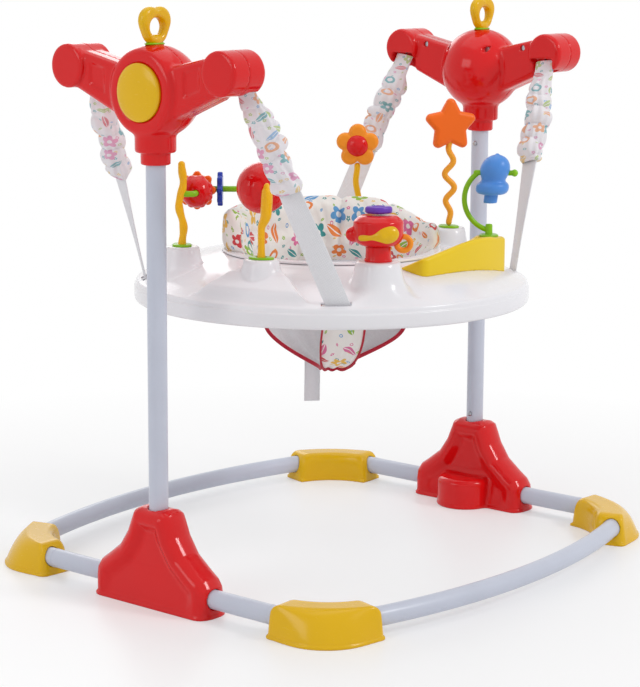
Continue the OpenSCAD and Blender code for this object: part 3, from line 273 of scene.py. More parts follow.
def shown(name, data):
    obj = bpy.data.objects.new(name, data)
    scene.collection.objects.link(obj)
    return obj


def made(name, shape, material, uv=None):
    mesh = bpy.data.meshes.new(name)
    verts, faces = shape
    faces = faces.tolist() if isinstance(faces, np.ndarray) else faces
    mesh.from_pydata((np.reshape(verts, (-1, 3)) * MM).tolist(), [], faces)
    mesh.polygons.foreach_set("use_smooth", [True] * len(mesh.polygons))
    if uv is not None:
        layer = mesh.uv_layers.new(name="cut")
        corner = np.empty(len(mesh.loops), int)
        mesh.loops.foreach_get("vertex_index", corner)
        layer.data.foreach_set("uv", (np.reshape(uv, (-1, 2)) * MM)[corner].ravel())
    mesh.update()
    mesh.materials.append(material)
    return shown(name, mesh)


def put(name, shape, material, body, *nodes, flip=(1, 1, 1), uv=None, slot=None):
    """A piece, on a body if it has one, in its material's slot; the slot argument is not used."""
    obj = made(name, mirrored(shape, flip), material, uv)
    if body:
        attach(obj, body)
    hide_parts(*nodes)
    return obj


# Materials, each with its slot in the record
SLOTS = {}


def feed(socket, value):
    if isinstance(value, bpy.types.NodeSocket):
        socket.id_data.links.new(value, socket)
    else:
        socket.default_value = value


def fill(n, **inputs):
    """Feed a node's inputs by their names, with _ for a space."""
    for key, value in inputs.items():
        feed(n.inputs[key.replace("_", " ")], value)
    return n


def node(near, kind, **inputs):
    """A new node in a tree, or in the tree of a socket."""
    return fill(near.id_data.nodes.new("ShaderNode" + kind), **inputs)


def maths(operation, *values, kind="Math", out=0):
    n = node(values[0], kind)
    n.operation = operation
    for socket, value in zip(n.inputs, values):
        feed(socket, value)
    return n.outputs[out]


def blended(share, a, b):
    n = node(share, "Mix")
    n.data_type = "RGBA"
    for i, value in ((0, share), (6, a), (7, b)):
        feed(n.inputs[i], value)
    return n.outputs[2]


def noise(where, scale, detail=3):
    return node(where, "TexNoise", Vector=where, Scale=scale, Detail=detail).outputs[0]


def bumped(height, strength, distance):
    return node(height, "Bump", Height=height, Strength=strength, Distance=distance).outputs[0]


def linear(rgb):
    c = np.array(rgb) / 255
    c = np.where(c <= 0.04045, c / 12.92, ((c + 0.055) / 1.055) ** 2.4)
    return (*c, 1)


def tinted(share, rgb, shade):
    """From a darker shade of a colour to the colour itself."""
    bright = linear(rgb)
    return blended(share, (*(shade * c for c in bright[:3]), 1), bright)


def fresh(name, slot, coords="Object"):
    """A material with its shader and where on the piece a point lies."""
    m = bpy.data.materials.new(name)
    m.use_nodes = True
    SLOTS[m.name] = slot
    where = node(m.node_tree, "TexCoord").outputs[coords]
    return m, m.node_tree.nodes["Principled BSDF"], where


def plastic(name, slot, rgb, rough=0.22, peel=0.08, shade=0.9):
    """Moulded plastic: slight mottle, hair scratches and the ripple of a mould."""
    m, shader, where = fresh(name, slot)
    stretch = node(where, "Mapping", Vector=where, Scale=(900, 60, 300)).outputs[0]
    hair = maths("GREATER_THAN", noise(stretch, 1, 2), 0.68)
    grime = maths("MULTIPLY_ADD", noise(where, 34), 0.12, rough - 0.06)
    fill(
        shader,
        Base_Color=tinted(noise(where, 9), rgb, shade),
        Roughness=maths("MULTIPLY_ADD", hair, 0.1, grime),
        Normal=bumped(noise(where, 160, 2), peel, 0.0008),
        Specular_IOR_Level=0.32,
    )
    return m


def metal(name, slot, rgb, rough, metallic, grain):
    m, shader, where = fresh(name, slot)
    fleck = noise(where, grain, 2)
    fill(
        shader,
        Base_Color=tinted(noise(where, 14), rgb, 0.88),
        Roughness=maths("MULTIPLY_ADD", fleck, 0.14, rough - 0.07),
        Normal=bumped(fleck, 0.06, 0.0005),
        Metallic=metallic,
    )
    return m


def weave(where, pitch, depth):
    """Height and bump of a plain weave: over and under in both directions."""
    parts = node(where, "SeparateXYZ", Vector=where).outputs[:2]
    warp, weft = [maths("SINE", maths("MULTIPLY", part, pi / pitch)) for part in parts]
    height = maths("MULTIPLY", warp, weft)
    return height, bumped(height, 0.35, depth)


def cloth(name, slot, rgb, pitch=0.0011, depth=0.0003, shade=0.82):
    m, shader, where = fresh(name, slot, "UV")
    height, normal = weave(where, pitch, depth)
    # Painted shade: the colour darkens in the low hollows of the weave and is brighter on the raised
    # threads, with a random tone from the noise over it.
    colour = tinted(maths("MULTIPLY_ADD", height, 0.25, noise(where, 260)), rgb, shade)
    fill(shader, Base_Color=colour, Normal=normal, Roughness=0.85, Sheen_Weight=0.15)
    return m


def motif_layer(where, pitch, base, size, inks):
    """Small flowers, leaves and rings, one to a cell, each turned its own way."""
    m = maths
    cell = node(where, "TexVoronoi", Vector=where, Scale=1 / pitch, Randomness=0.55)
    cell.voronoi_dimensions = "2D"
    offset = m("SUBTRACT", where, cell.outputs["Position"], kind="VectorMath")
    kind, tone, spin = node(where, "SeparateColor", Color=cell.outputs["Color"]).outputs
    spun = node(where, "VectorRotate", Vector=offset, Angle=m("MULTIPLY", spin, 6.28)).outputs[0]
    x, y, _ = node(where, "SeparateXYZ", Vector=spun).outputs
    aside = m("ABSOLUTE", x)
    reach = m("SQRT", m("ADD", m("MULTIPLY", x, x), m("MULTIPLY", y, y)))
    lobes = m("ABSOLUTE", m("COSINE", m("MULTIPLY", m("ARCTAN2", y, x), 2.5)))
    flower = m("LESS_THAN", reach, m("MULTIPLY_ADD", lobes, 0.45 * size, 0.55 * size))
    bloom = m("SUBTRACT", flower, m("LESS_THAN", reach, 0.28 * size))
    tip = m("DIVIDE", y, 1.15 * size)
    bow = m("ADD", m("DIVIDE", aside, 0.42 * size), m("MULTIPLY", tip, tip))
    blade = m("LESS_THAN", bow, 1)
    leaf = m("SUBTRACT", blade, m("MULTIPLY", blade, m("LESS_THAN", aside, 0.05 * size)))
    ring = m("LESS_THAN", m("ABSOLUTE", m("SUBTRACT", reach, 0.6 * size)), 0.17 * size)
    mask = bloom
    for share, motif in ((0.38, leaf), (0.78, ring)):
        chosen = m("GREATER_THAN", kind, share)
        mask = node(where, "Mix", Factor=chosen, A=mask, B=motif).outputs[0]
    ramp = node(where, "ValToRGB", Fac=tone)
    ramp.color_ramp.interpolation = "CONSTANT"
    stops = ramp.color_ramp.elements
    for i, ink in enumerate(inks):
        stop = stops[i] if i < 2 else stops.new(i / len(inks))
        stop.position = i / len(inks)
        stop.color = linear(ink)
    return blended(mask, base, ramp.outputs[0])


def print_cloth(name, pitch, inks, rgb):
    m, shader, where = fresh(name, "print_fabric", "UV")
    shifted = node(where, "Mapping", Vector=where, Location=(0.31, 0.17, 0)).outputs[0]
    small = motif_layer(shifted, 0.55 * pitch, linear(rgb), 0.1 * pitch, inks[2:])
    whole = motif_layer(where, pitch, small, 0.37 * pitch, inks)
    height, normal = weave(where, 0.0009, 0.00025)
    thread = maths("MULTIPLY_ADD", height, 0.06, 0.06)
    colour = blended(thread, whole, linear((150, 145, 150)))
    fill(shader, Base_Color=colour, Normal=normal, Roughness=0.82, Sheen_Weight=0.2)
    return m


INKS = [(214, 52, 58), (240, 132, 52), (46, 150, 150), (150, 192, 60)]
INKS += [(240, 190, 60), (226, 110, 160), (90, 160, 215)]
PALE_INKS = [tuple(0.5 * c + 0.5 * w for c, w in zip(ink, (236, 228, 240))) for ink in INKS]
RED = plastic("red_gloss", "red_plastic", (228, 16, 20), 0.14)
YELLOW = plastic("yellow_gloss", "yellow_plastic", (238, 188, 0), 0.2)
POD_YELLOW = plastic("pod_yellow", "yellow_plastic", (244, 208, 24), 0.32)
STEM_YELLOW = plastic("stem_yellow", "yellow_plastic", (252, 190, 10), 0.28)
WHITE = plastic("white_gloss", "white_plastic", (240, 239, 243), 0.18, 0.05, 0.96)
GREEN = plastic("leaf_green", "green_plastic", (140, 200, 10), 0.3)
ORANGE = plastic("soft_orange", "orange_plastic", (255, 112, 16), 0.38)
LIGHT_ORANGE = plastic("light_orange", "orange_plastic", (255, 156, 36), 0.38)
STAR_STEM = plastic("star_stem", "orange_plastic", (255, 172, 44), 0.35)
BLUE = plastic("sky_blue", "blue_plastic", (84, 148, 228), 0.36)
DARK_BLUE = plastic("dark_blue", "blue_plastic", (28, 58, 176), 0.25)
PURPLE = plastic("purple", "purple_plastic", (112, 62, 190), 0.3)
INNER = plastic("inner_white", "inner_plastic", (232, 231, 236), 0.4)
PAINT = metal("tube_paint", "tube_paint", (206, 211, 226), 0.3, 0.0, 700)
STEEL = metal("bright_steel", "steel", (176, 178, 184), 0.28, 1.0, 900)
PRINT = print_cloth("printed_cotton", 0.036, INKS, (246, 243, 238))
PRINT_PALE = print_cloth("printed_sleeve", 0.032, PALE_INKS, (240, 236, 240))
SLING = cloth("sling_cloth", "sling_fabric", (222, 222, 226))
WEBBING = cloth("webbing_weave", "webbing", (236, 236, 240), 0.0016, 0.0004, 0.92)
BINDING = cloth("crimson_binding", "sling_fabric", (190, 24, 52))

# Heads, moulded in an outer and an inner half: X points outwards from the upright's axis
UPRIGHT_X = 386
HEAD_Z, HEAD_R = 734, 65.5
ARM_Y, ARM_Z = 144, 765
ARM = [(0, 760), (ARM_Y, 792), (ARM_Y, 738), (0, 677)]
ARM_PANEL = [(76, 764), (104, 771), (104, 741), (76, 730)]
SCREW_HOLES = ((97, 772), (36.5, 768))
FLAT_X = 32
COVER_R, COVER_RISE = 40.5, 7
HALF_LAP = 0.3
HEAD_LOW, HEAD_HIGH, HEAD_STEP = (-66, -176, 632), (36, 176, 801), 2.3
HEART_TUBE = 7.5


def on_upright(side, sign, name, shape, material, *nodes):
    """A piece at an upright, drawn round the axis of the right one."""
    found = [pattern.format(side) for pattern in nodes]
    there = moved(shape, (UPRIGHT_X, 0, 0))
    put(f"{name}_{side}", there, material, "frame", *found, flip=(sign, 1, 1))


def head_form(p):
    x, y, z = p.T
    y = np.abs(y)
    m = np.stack([x, y, z], 1)
    arm = rounded(outline(y, z, ARM), np.abs(x) - 24, 9)
    form = join(ball(p, (0, 0, HEAD_Z), HEAD_R), arm, 5)
    form = cut(form, rounded(outline(y, z, ARM_PANEL), np.abs(x - 27) - 5.5, 3), 3)
    form = join(form, drum(m, (0, ARM_Y, ARM_Z), 0, 34, 31, 6), 3)
    form = join(form, drum(p, (0, 0, 690), 2, 40, 29, 4), 5)
    form = join(form, drum(p, (0, 0, 646), 2, 13, 21, 3), 2)
    form = both(form, x - FLAT_X, 6)
    form = cut(form, drum(p, (FLAT_X + 6, 0, HEAD_Z), 0, 8, COVER_R + 1, 1), 1.5)
    form = cut(form, block(m, (-30, 140, 738), (18, 21, 19), 3), 1.5)
    for spot in SCREW_HOLES:
        form = cut(form, drum(m, (-60, *spot), 0, 45, 4.4, 0.5), 1)
    return form


def head_half(p, sign):
    """The half outside or inside the upright's axis, with a small lap over the other."""
    return both(head_form(p), sign * p[:, 0] - HALF_LAP, 0.8)


def heart_form(p):
    x, y, z = p.T
    lobes = np.hypot(np.abs(x) - 9.5, z - 831.2) - 11.5
    line = join(lobes, np.hypot(x, z - 820) - 15.5, 6)
    hole = np.hypot(x / 1.05, z - 822.5) - 12.3
    ring = rounded(both(line - HEART_TUBE, -hole, 1), np.abs(y) - HEART_TUBE, 6.5)
    return join(ring, rod(p, (0, 0, 797), (0, 0, 804), 8), 4)


def heart_leaf_form(p):
    x, y, z = p.T
    wings = np.hypot(np.hypot(x / 2.7, y / 1.5), (z - 799.5) / 0.5) - 6.5
    return both(0.5 * wings, 797.5 - z, 1)


outer = net(partial(head_half, sign=-1), (-3, *HEAD_LOW[1:]), HEAD_HIGH, HEAD_STEP)
inner = net(partial(head_half, sign=1), HEAD_LOW, (3, *HEAD_HIGH[1:]), HEAD_STEP)
cover_rim = [(0, -1.8), (COVER_R - 0.4, -1.8), (COVER_R, -1.3), (COVER_R, 1.2)]
dome = np.linspace(0, pi / 2, 14)
cover_top = np.stack([COVER_R * np.cos(dome), 1.4 + COVER_RISE * np.sin(dome)], 1)
cover = lathe(np.vstack([cover_rim, cover_top]))
cover = moved((cover[0][:, [2, 0, 1]], cover[1]), (FLAT_X, 0, HEAD_Z))
heart = net(heart_form, (-31, -8.5, 794), (31, 8.5, 852), 1.3)
heart_leaf = net(heart_leaf_form, (-19, -11, 796), (19, 11, 804), 1)
for upright in SIDES:
    on_upright(*upright, "head_outer", outer, RED, "head_outer_shell_{}")
    on_upright(*upright, "head_inner", inner, RED, "head_inner_shell_{}")
    on_upright(*upright, "head_cover", cover, YELLOW, "head_covers")
    on_upright(*upright, "heart_loop", heart, YELLOW, "heart_loops")
    on_upright(*upright, "heart_leaf", heart_leaf, GREEN)

# Foot housings: a thin web between two rounded ridges, and a toe on the inner side
BASE_Z = 27
HOUSING_SIDE = [(24, 143), (33, 139), (38, 128), (46, 108), (62, 84), (86, 65)]
HOUSING_SIDE += [(100, 55), (108, 43), (110, 28), (110, -80)]
HOUSING = HOUSING_SIDE + [(-y, z) for y, z in HOUSING_SIDE[::-1]]
PANEL_X, RIDGE_X = 17.5, 28
TUBE_HOLE = 14.6


def floor_lip(plan, z):
    """Thin edge of a foot at the floor."""
    return rounded(plan, np.abs(z - 1.5) - 3, 1.2)


def housing_form(p):
    x, y, z = p.T
    silhouette = outline(y, z, HOUSING)
    ridge = ease((27 + silhouette) / 20 + 0.5)
    sunk = (RIDGE_X - PANEL_X) * np.clip(z / 60, 0, 1)
    form = 0.75 * (np.abs(x) - RIDGE_X + sunk * (1 - ridge))
    form = both(form, silhouette, 21)
    toe = np.maximum(rod(p * (1, 1, 0), (0, 0, 0), (-26, 0, 0), 46), x - 14)
    form = join(form, rounded(toe, np.abs(z - 23) - 26.5, 10), 6)
    form = both(join(form, floor_lip(form - 1.5, z), 2), -z, 1)
    form = cut(form, drum(p, (0, 0, BASE_Z), 1, 200, TUBE_HOLE, 1), 1.5)
    return cut(form, drum(p, (0, 0, 150), 2, 40, TUBE_HOLE, 1), 2)


housing = net(housing_form, (-74, -113, 0), (30, 113, 145), 2.3)

# Corner feet: a ramp that falls outwards from the tube, with a thin lip at the floor
BEND, BEND_R = np.array((266, 214)), 120
FOOT_START, FOOT_END = radians(3), radians(74)
FOOT_IN, FOOT_OUT = 90, 142.5
TOE_R, TOE_A, TOE_ROUND = 92, radians(38.5), 73


def corner_form(p):
    x, y = (p[:, :2] - BEND).T
    z = p[:, 2]
    reach = np.hypot(x, y)
    toe = np.hypot(x - TOE_R * cos(TOE_A), y - TOE_R * sin(TOE_A)) - TOE_ROUND
    edge = join(reach - FOOT_OUT, toe, 14)
    start = x * sin(FOOT_START) - y * cos(FOOT_START)
    end = y * cos(FOOT_END) - x * sin(FOOT_END)
    ends = np.maximum(start, end) + 0.12 * (z - 24)
    off = np.clip((np.arctan2(y, x) - TOE_A) / (TOE_A - FOOT_START), -1, 1)
    t = np.clip(-edge / (8 + 29 * np.cos(off * pi / 2) ** 2), 0, 1)
    top = 0.7 * (z - 5 - 43 * t * (2 - t))
    form = both(both(top, edge, 3), ends, 16)
    form = both(form, FOOT_IN - reach, 13)
    plan = np.maximum(both(edge - 1.6, ends, 12), FOOT_IN - reach)
    form = both(join(form, floor_lip(plan, z), 1.5), -z, 1)
    return cut(form, np.hypot(reach - BEND_R, z - BASE_Z) - 14.4, 1.2)


corner = net(corner_form, (276, 200, 0), (434, 384, 49), 1.9)
for side, sign in SIDES:
    on_upright(side, sign, "foot_shell", housing, RED, "foot_housing_{}")
    for end, other in ENDS:
        name = f"{end}_{side}"
        put(f"corner_ramp_{name}", corner, YELLOW, "frame", f"corner_foot_{name}", flip=(sign, other, 1))

# Tray: a thin dished shell, with a raised foot under each toy
TRAY_Z, TRAY_WALL = 401.5, 3.2
STATION_R = 240
STATIONS = {"bead": 150.5, "ball": 194.5, "spinner": 235.5, "star": -12, "flower": 29.5}
FANS = ("ball", "flower")
FAN_RISE = ((195, 228, 258, 292), (0, 18, 21, 12))
FAN_HALF = ((215, 250, 298), (5, 11, 19))
WIDE_FOOT = 1.25
DISH = [(160, 72), (172, 71.2), (188, 67.5), (210, 63.2), (231.5, 58), (259.5, 47.5), (286, 35.5), (304, 27)]
DISH = curve(DISH, 90)
CUP = [(0, 88.5), (22.5, 88.5), (25, 87.6), (26, 85.5), (27.6, 75)]
SKIRT = [CUP[-1], (31, 60), (37, 48.5), (47, 40), (62, 33.5), (84, 27), (112, 20), (150, 10)]
FLARE = np.vstack([CUP, curve(SKIRT, 60)])
TURNS = 720
SLOT_ROWS = (284, 292)
SLOT_A, SLOT_HALF_A = 40.8, 4.25
INNER_EDGE = [(160, 46.5), (160, 66), (160.7, 69.4), (162.4, 71.3)]
RIM = [(298.4, 30), (299.8, 28.4), (300.5, 26), (300.7, 23.2), (301.3, 22.3), (302.3, 21.8), (302.9, 20.6)]
RIM += [(303, 19), (303, 5), (302.3, 1.6), (300.8, 0), (299.2, 1.2), (299, 5), (298.8, 20), (297.6, 24.5)]
UNDER_EDGE = [(163.6, 66), (163.6, 46.5)]


def polar(r, a, z=0):
    return np.array((r * cos(radians(a)), r * sin(radians(a)), z))


def fan(x, y, station_a):
    """Share of a petal that widens from a station to the rim."""
    r = np.hypot(x, y)
    aside = np.abs((np.degrees(np.arctan2(y, x)) - station_a + 180) % 360 - 180)
    return ease((np.interp(r, *FAN_HALF) - aside) / 5 + 0.5) * ease((r - 205) / 30)


def tray_height(x, y):
    r = np.hypot(x, y)
    base = np.interp(r, *DISH.T)
    height = base
    for name in FANS:
        height = height + np.interp(r, *FAN_RISE) * fan(x, y, STATIONS[name])
    for name, a in STATIONS.items():
        cx, cy, _ = polar(STATION_R, a)
        widen = WIDE_FOOT if name == "spinner" else 1
        rise = np.interp(np.hypot(x - cx, y - cy) / widen, *FLARE.T)
        height = both(height, rise, 3.5)
    return base + (height - base) * ease((298 - r) / 16)


radii = np.unique([*np.linspace(165, 283, 58), *SLOT_ROWS, 286, 288, 290, 294, 296.5])
angles = np.linspace(0, TURN, TURNS, endpoint=False)


def tray_ring(r, z=None, drop=0):
    """Points round the tray, at a height or at a depth under its upper face."""
    x, y = r * np.cos(angles), r * np.sin(angles)
    z = tray_height(x, y) - drop if z is None else z + 0 * x
    return np.stack([x, y, z + TRAY_Z], 1)


upper, lower = [(r,) for r in radii], [(r, None, TRAY_WALL) for r in radii[::-1]]
rings = [tray_ring(*spot) for spot in INNER_EDGE + upper + RIM + lower + UNDER_EDGE]
tray_faces = grid_faces(len(rings), TURNS, True, True).reshape(len(rings), TURNS, 4)
kept = np.ones(tray_faces.shape[:2], bool)
in_slot = [i for i, r in enumerate(radii) if SLOT_ROWS[0] <= r <= SLOT_ROWS[1]]
tops = [len(INNER_EDGE) + i for i in in_slot]
unders = [len(rings) - len(UNDER_EDGE) - 1 - i for i in in_slot]
last = len(in_slot) - 1
walls = []
for a in (SLOT_A, 180 - SLOT_A, 180 + SLOT_A, 360 - SLOT_A):
    k0, k1 = [round((a + s * SLOT_HALF_A) * TURNS / 360) for s in (-1, 1)]
    kept[tops[0] : tops[-1], k0:k1] = False
    kept[unders[-1] : unders[0], k0:k1] = False
    loop = [(0, k) for k in range(k1, k0, -1)] + [(i, k0) for i in range(last)]
    loop += [(last, k) for k in range(k0, k1)] + [(i, k1) for i in range(last, 0, -1)]
    for (i, k), (j, m) in zip(loop, loop[1:] + loop[:1]):
        wall = ((tops[i], k), (tops[j], m), (unders[j], m), (unders[i], k))
        walls.append([row * TURNS + col for row, col in wall])
tray_shape = (np.concatenate(rings), np.concatenate([tray_faces[kept][:, ::-1], walls]))
put("tray_moulding", tray_shape, WHITE, "tray", "tray_shell")

# Toys
STATION_TOP = 490
POD_TOP = 498.5
TOY_A = -50.3
SWING_SPOT = (136, -198)
SWING = np.array((*SWING_SPOT, POD_TOP))
SWING_A = degrees(atan2(SWING_SPOT[1], SWING_SPOT[0]))
LEAF_HOLES = {"bead": 5.4, "ball": 8.4, "star": 0, "flower": 0}
AXLE_HOLE = 4.7


def station(name, h=0):
    return polar(STATION_R, STATIONS[name], STATION_TOP + h)


def toy(name, shape, at, material, body, *nodes, a=TOY_A, slot=None):
    put(name, placed(shape, at, a), material, body, *nodes, slot=slot)


def bent(points, radius, n=7):
    """A path with its corners rounded to the radius."""
    pts = [np.array(p, float) for p in points]
    out = [pts[0]]
    for a, b, c in zip(pts, pts[1:], pts[2:]):
        u, v = (a - b) / np.linalg.norm(a - b), (c - b) / np.linalg.norm(c - b)
        for t in np.linspace(0, 1, n):
            out.append(b + radius * (u * (1 - t) ** 2 + v * t**2))
    return np.array(out + [pts[-1]])


def wand(foot, top, r, waves, wave):
    """A flexible stem in waves that die away at both ends."""
    t = np.linspace(0, 1, 40 * waves)
    w = wave * np.sin(TURN * waves * t) * np.sin(pi * t)
    path = np.stack([0.64 * w, -0.77 * w, foot + (top - foot) * t], 1)
    return sweep(path, r)


def leaf_disc(origin, a, hole):
    """Two leaf shaped wings round a stem's foot."""
    hole = max(hole, 0.01)
    verts, faces = lathe([(hole, 0), (14.6, 0), (15.2, 0.8), (14.9, 2.3), (14, 3), (hole, 3)], 48)
    reach = np.hypot(verts[:, 0], verts[:, 1])
    wing = np.abs(verts[:, 1]) / (reach + 1e-6)
    verts[:, :2] *= np.where(reach > 12, 0.97 + 0.32 * wing**4, 1)[:, None]
    return placed((verts, faces), origin, a)


leaves = [leaf_disc(SWING, SWING_A, 5.9)]
leaves += [leaf_disc(station(name), STATIONS[name], hole) for name, hole in LEAF_HOLES.items()]
put("leaf_discs", merged(*leaves), GREEN, "tray", "leaf_bases")

# Bead post, its bent branch, the bead and the wheels
BRANCH = station("bead", 78)
BRANCH_R, BRANCH_RUN, BRANCH_END = 4.5, 70, 112
BEAD_OUT = 20
t = np.linspace(0, 1, 60)
wave = 3 * np.sin(3 * pi * t) * np.sin(pi * t)
post = sweep(np.stack([wave, -wave, 1 + 121 * t], 1), 5.8 + 0.5 * np.cos(9 * pi * t))
toy("wavy_post", post, station("bead"), STEM_YELLOW, "tray", "bead_post", a=0)
turns = [(BRANCH_R, 0, 0), (BEAD_OUT, 0, 0), (BEAD_OUT, BRANCH_RUN, 0), (BRANCH_END, BRANCH_RUN, 0)]
knob = [(BRANCH_END - back, BRANCH_RUN, 0) for back in (7, 4, 2, 0)]
branch_path = np.vstack([bent(turns, 9)[:-1], knob])
branch_r = [BRANCH_R] * (len(branch_path) - 3) + [5.4, 6.4, 6.6]
toy("branch", sweep(branch_path, branch_r), BRANCH, GREEN, "tray", "bead_branch")


def gear(x, y, r):
    """Plan of a wheel with eight round teeth."""
    step = TURN / 8
    a = np.mod(np.arctan2(y, x) + step / 2, step) - step / 2
    reach = np.hypot(x, y)
    tooth = np.hypot(reach * np.cos(a) - 0.8 * r, reach * np.sin(a)) - 0.2 * r
    return join(reach - 0.82 * r, tooth, 3)


def bead_form(p):
    form = ball(p, (0, 0, 0), 24)
    for k in range(8):
        a = TURN * (k + 0.5) / 8
        form = join(form, ball(p, (21 * cos(a), -1, 21 * sin(a)), 4.6), 3)
    form = both(form, p[:, 1] - 13, 2)
    return cut(form, bore(p, 1, AXLE_HOLE), 1.5)


def toothed_form(p):
    form = rounded(gear(p[:, 0], p[:, 2], 29), np.abs(p[:, 1]) - 5, 2)
    return cut(form, bore(p, 1, AXLE_HOLE), 1)


def blue_form(p):
    form = rounded(gear(p[:, 1], p[:, 2], 26), np.abs(p[:, 0]) - 4, 1.8)
    form = cut(form, drum(p, (-6, 0, 0), 0, 4, 17, 1.5), 1.5)
    form = join(form, drum(p, (0, 0, 0), 0, 4, 8, 1.5), 1.5)
    return cut(form, bore(p, 0, AXLE_HOLE), 1)


bead_at = BRANCH + turned((BEAD_OUT, 33, 0), TOY_A)
blue_at = BRANCH + turned((54, BRANCH_RUN, 0), TOY_A)
behind = moved(net(toothed_form, (-30, -6, -30), (30, 6, 30), 1.2), (0, 18.2, 0))
toy("bead", net(bead_form, (-26, -25, -26), (26, 14, 26), 1.2), bead_at, RED, "bead", "red_bead")
toy("bead_wheel", behind, bead_at, ORANGE, "bead")
toy("wheel", net(blue_form, (-5, -27, -27), (5, 27, 27), 1.1), blue_at, DARK_BLUE, "wheel", "blue_wheel")

# Ball on its bent stem
STEM = [(0, 0, 0, 9), (0, 0, 5, 8), (0, 0, 14, 7), (0, 0, 40, 7), (1, 0, 48, 7.8)]
STEM += [(6, 0, 60, 10.2), (7, 0, 70, 11), (8, 0, 88, 11), (8, 0, 98, 9.6), (8, 0, 103, 6.5)]
AXLE_TOP = np.array((8, 0, 97))
AWAY = np.array((-8, 50, 0)) / hypot(8, 50)
BALL_OUT, BALL_R = 50, 37.6
stem = curve(STEM, 60)
axle = sweep([AXLE_TOP + AWAY * out for out in (0, 20, 64)], 4, 16)
stem_shape = sweep(stem[:, :3], stem[:, 3], 24, 0.75, (0, 1, 0))
toy("ball_arm", merged(stem_shape, axle), station("ball"), STEM_YELLOW, "tray", "ball_stem")


def ball_form(p):
    q = np.stack([p @ (AWAY[1], -AWAY[0], 0), p @ AWAY, p[:, 2]], 1)
    belt = np.hypot(np.hypot(q[:, 0], q[:, 2]) - 38, q[:, 1]) - 0.9
    form = cut(ball(q, (0, 0, 0), BALL_R), belt, 0.8)
    for k in range(6):
        a = TURN * (k + 0.25) / 6
        spot = np.array((26 * cos(a), -25, 26 * sin(a)))
        form = join(form, ball(q, spot * 35.4 / np.linalg.norm(spot), 3.4), 1.5)
    return cut(form, drum(q, (0, -30, 0), 1, 30, 4.5, 0.5), 1.5)


ball_at = station("ball") + turned(AXLE_TOP + AWAY * BALL_OUT, TOY_A)
toy("ball", net(ball_form, (-39, -39, -39), (39, 39, 39), 1.6), ball_at, RED, "ball", "spin_ball")

# Flower and star: flat in X and Z, with Y into them, on their stems
FLOWER_H, FLOWER_A = 122, 306
STAR_H, STAR_A = 163, 325
STAR_TIP, STAR_NOTCH, STAR_ROUND = 34.5, 18.5, 8
star_turns = [(STAR_NOTCH if k % 2 else STAR_TIP, pi * k / 5) for k in range(10)]
STAR = [(r * sin(a), r * cos(a)) for r, a in star_turns]


def flower_form(p):
    x, y, z = p.T
    plan = np.hypot(x, z) - 21
    for k in range(5):
        a = pi * (0.5 + 0.4 * k)
        plan = join(plan, np.hypot(x - 21 * cos(a), z - 21 * sin(a)) - 14.5, 3)
    return cut(rounded(plan, np.abs(y) - 8.5, 7), ball(p, (0, -14, 0), 17), 2)


def eye_form(p):
    return both(ball(p * (1, 1.25, 1), (0, 0, 0), 19.5) * 0.8, p[:, 1] - 2, 1.5)


def star_form(p):
    plan = outline(p[:, 0], p[:, 2], STAR) - STAR_ROUND
    return rounded(plan, np.abs(p[:, 1]) - 8.5, 7.5)


flower = net(flower_form, (-37, -9, -37), (37, 9, 37), 1.3)
eye = moved(net(eye_form, (-21, -17, -21), (21, 3, 21), 1.1), (0, -1, 0))
star = net(star_form, (-44, -9, -44), (44, 9, 44), 1.4)
flower_at = station("flower", FLOWER_H)
toy("flower", flower, flower_at, LIGHT_ORANGE, "flower", "flower_head", a=FLOWER_A)
toy("flower_eye", eye, flower_at, RED, "flower", a=FLOWER_A)
toy("star", star, station("star", STAR_H), ORANGE, "star", "star_head", a=STAR_A)
flower_wand, star_wand = wand(8.3, FLOWER_H - 33, 5, 1, 3), wand(7.8, STAR_H - 22, 4.8, 3, 8)
foot = station("flower")
toy("flower_wand", flower_wand, foot, STEM_YELLOW, "flower", "flower_stem", a=0, slot="orange_plastic")
toy("star_wand", star_wand, station("star"), STAR_STEM, "star", "star_stem", a=0)

# Spinner: a foot on the tray, a drum with a badge and an ear, and a knob
SPINNER = station("spinner")
SPINNER_FOOT = [(0, 0), (20, 0), (20.4, 0.8), (20, 2.5), (18.5, 5), (18, 17)]
SPINNER_FOOT += [(18.6, 20.6), (18, 21.8), (0, 22)]
DRUM_LIFT, KNOB_LIFT = 22.3, 46.3


def spinner_form(p):
    form = join(drum(p, (0, 0, 22), 2, 22, 36, 16), ball(p, (-36, 0, 16), 11), 4)
    return join(form, drum(p, (0, 0, 33), 2, 4, 35.6, 3.5), 2)


def badge_form(p):
    face = ball(p * (1, 1.7, 1.35), (9, -27 * 1.7, 20 * 1.35), 19.5)
    return join(0.6 * face, rod(p, (-25, -26.5, 14), (4, -33, 17), 4.2, 6.5), 4)


def ear_form(p):
    return np.hypot(np.hypot(p[:, 0] - 36, p[:, 2] - 3) - 10, p[:, 1]) - 4.2


def rotor_form(p):
    x, y, z = p.T
    plan = np.hypot(x, y) - 15.6
    for s in (-1, 1):
        plan = join(plan, np.hypot(x - s * 9.75, y) - 9.75, 3)
    form = rounded(plan, np.abs(z - 5) - 5, 3.5)
    return cut(form, drum(p, (0, 0, 11), 2, 2.5, 10, 1.5), 1.5)


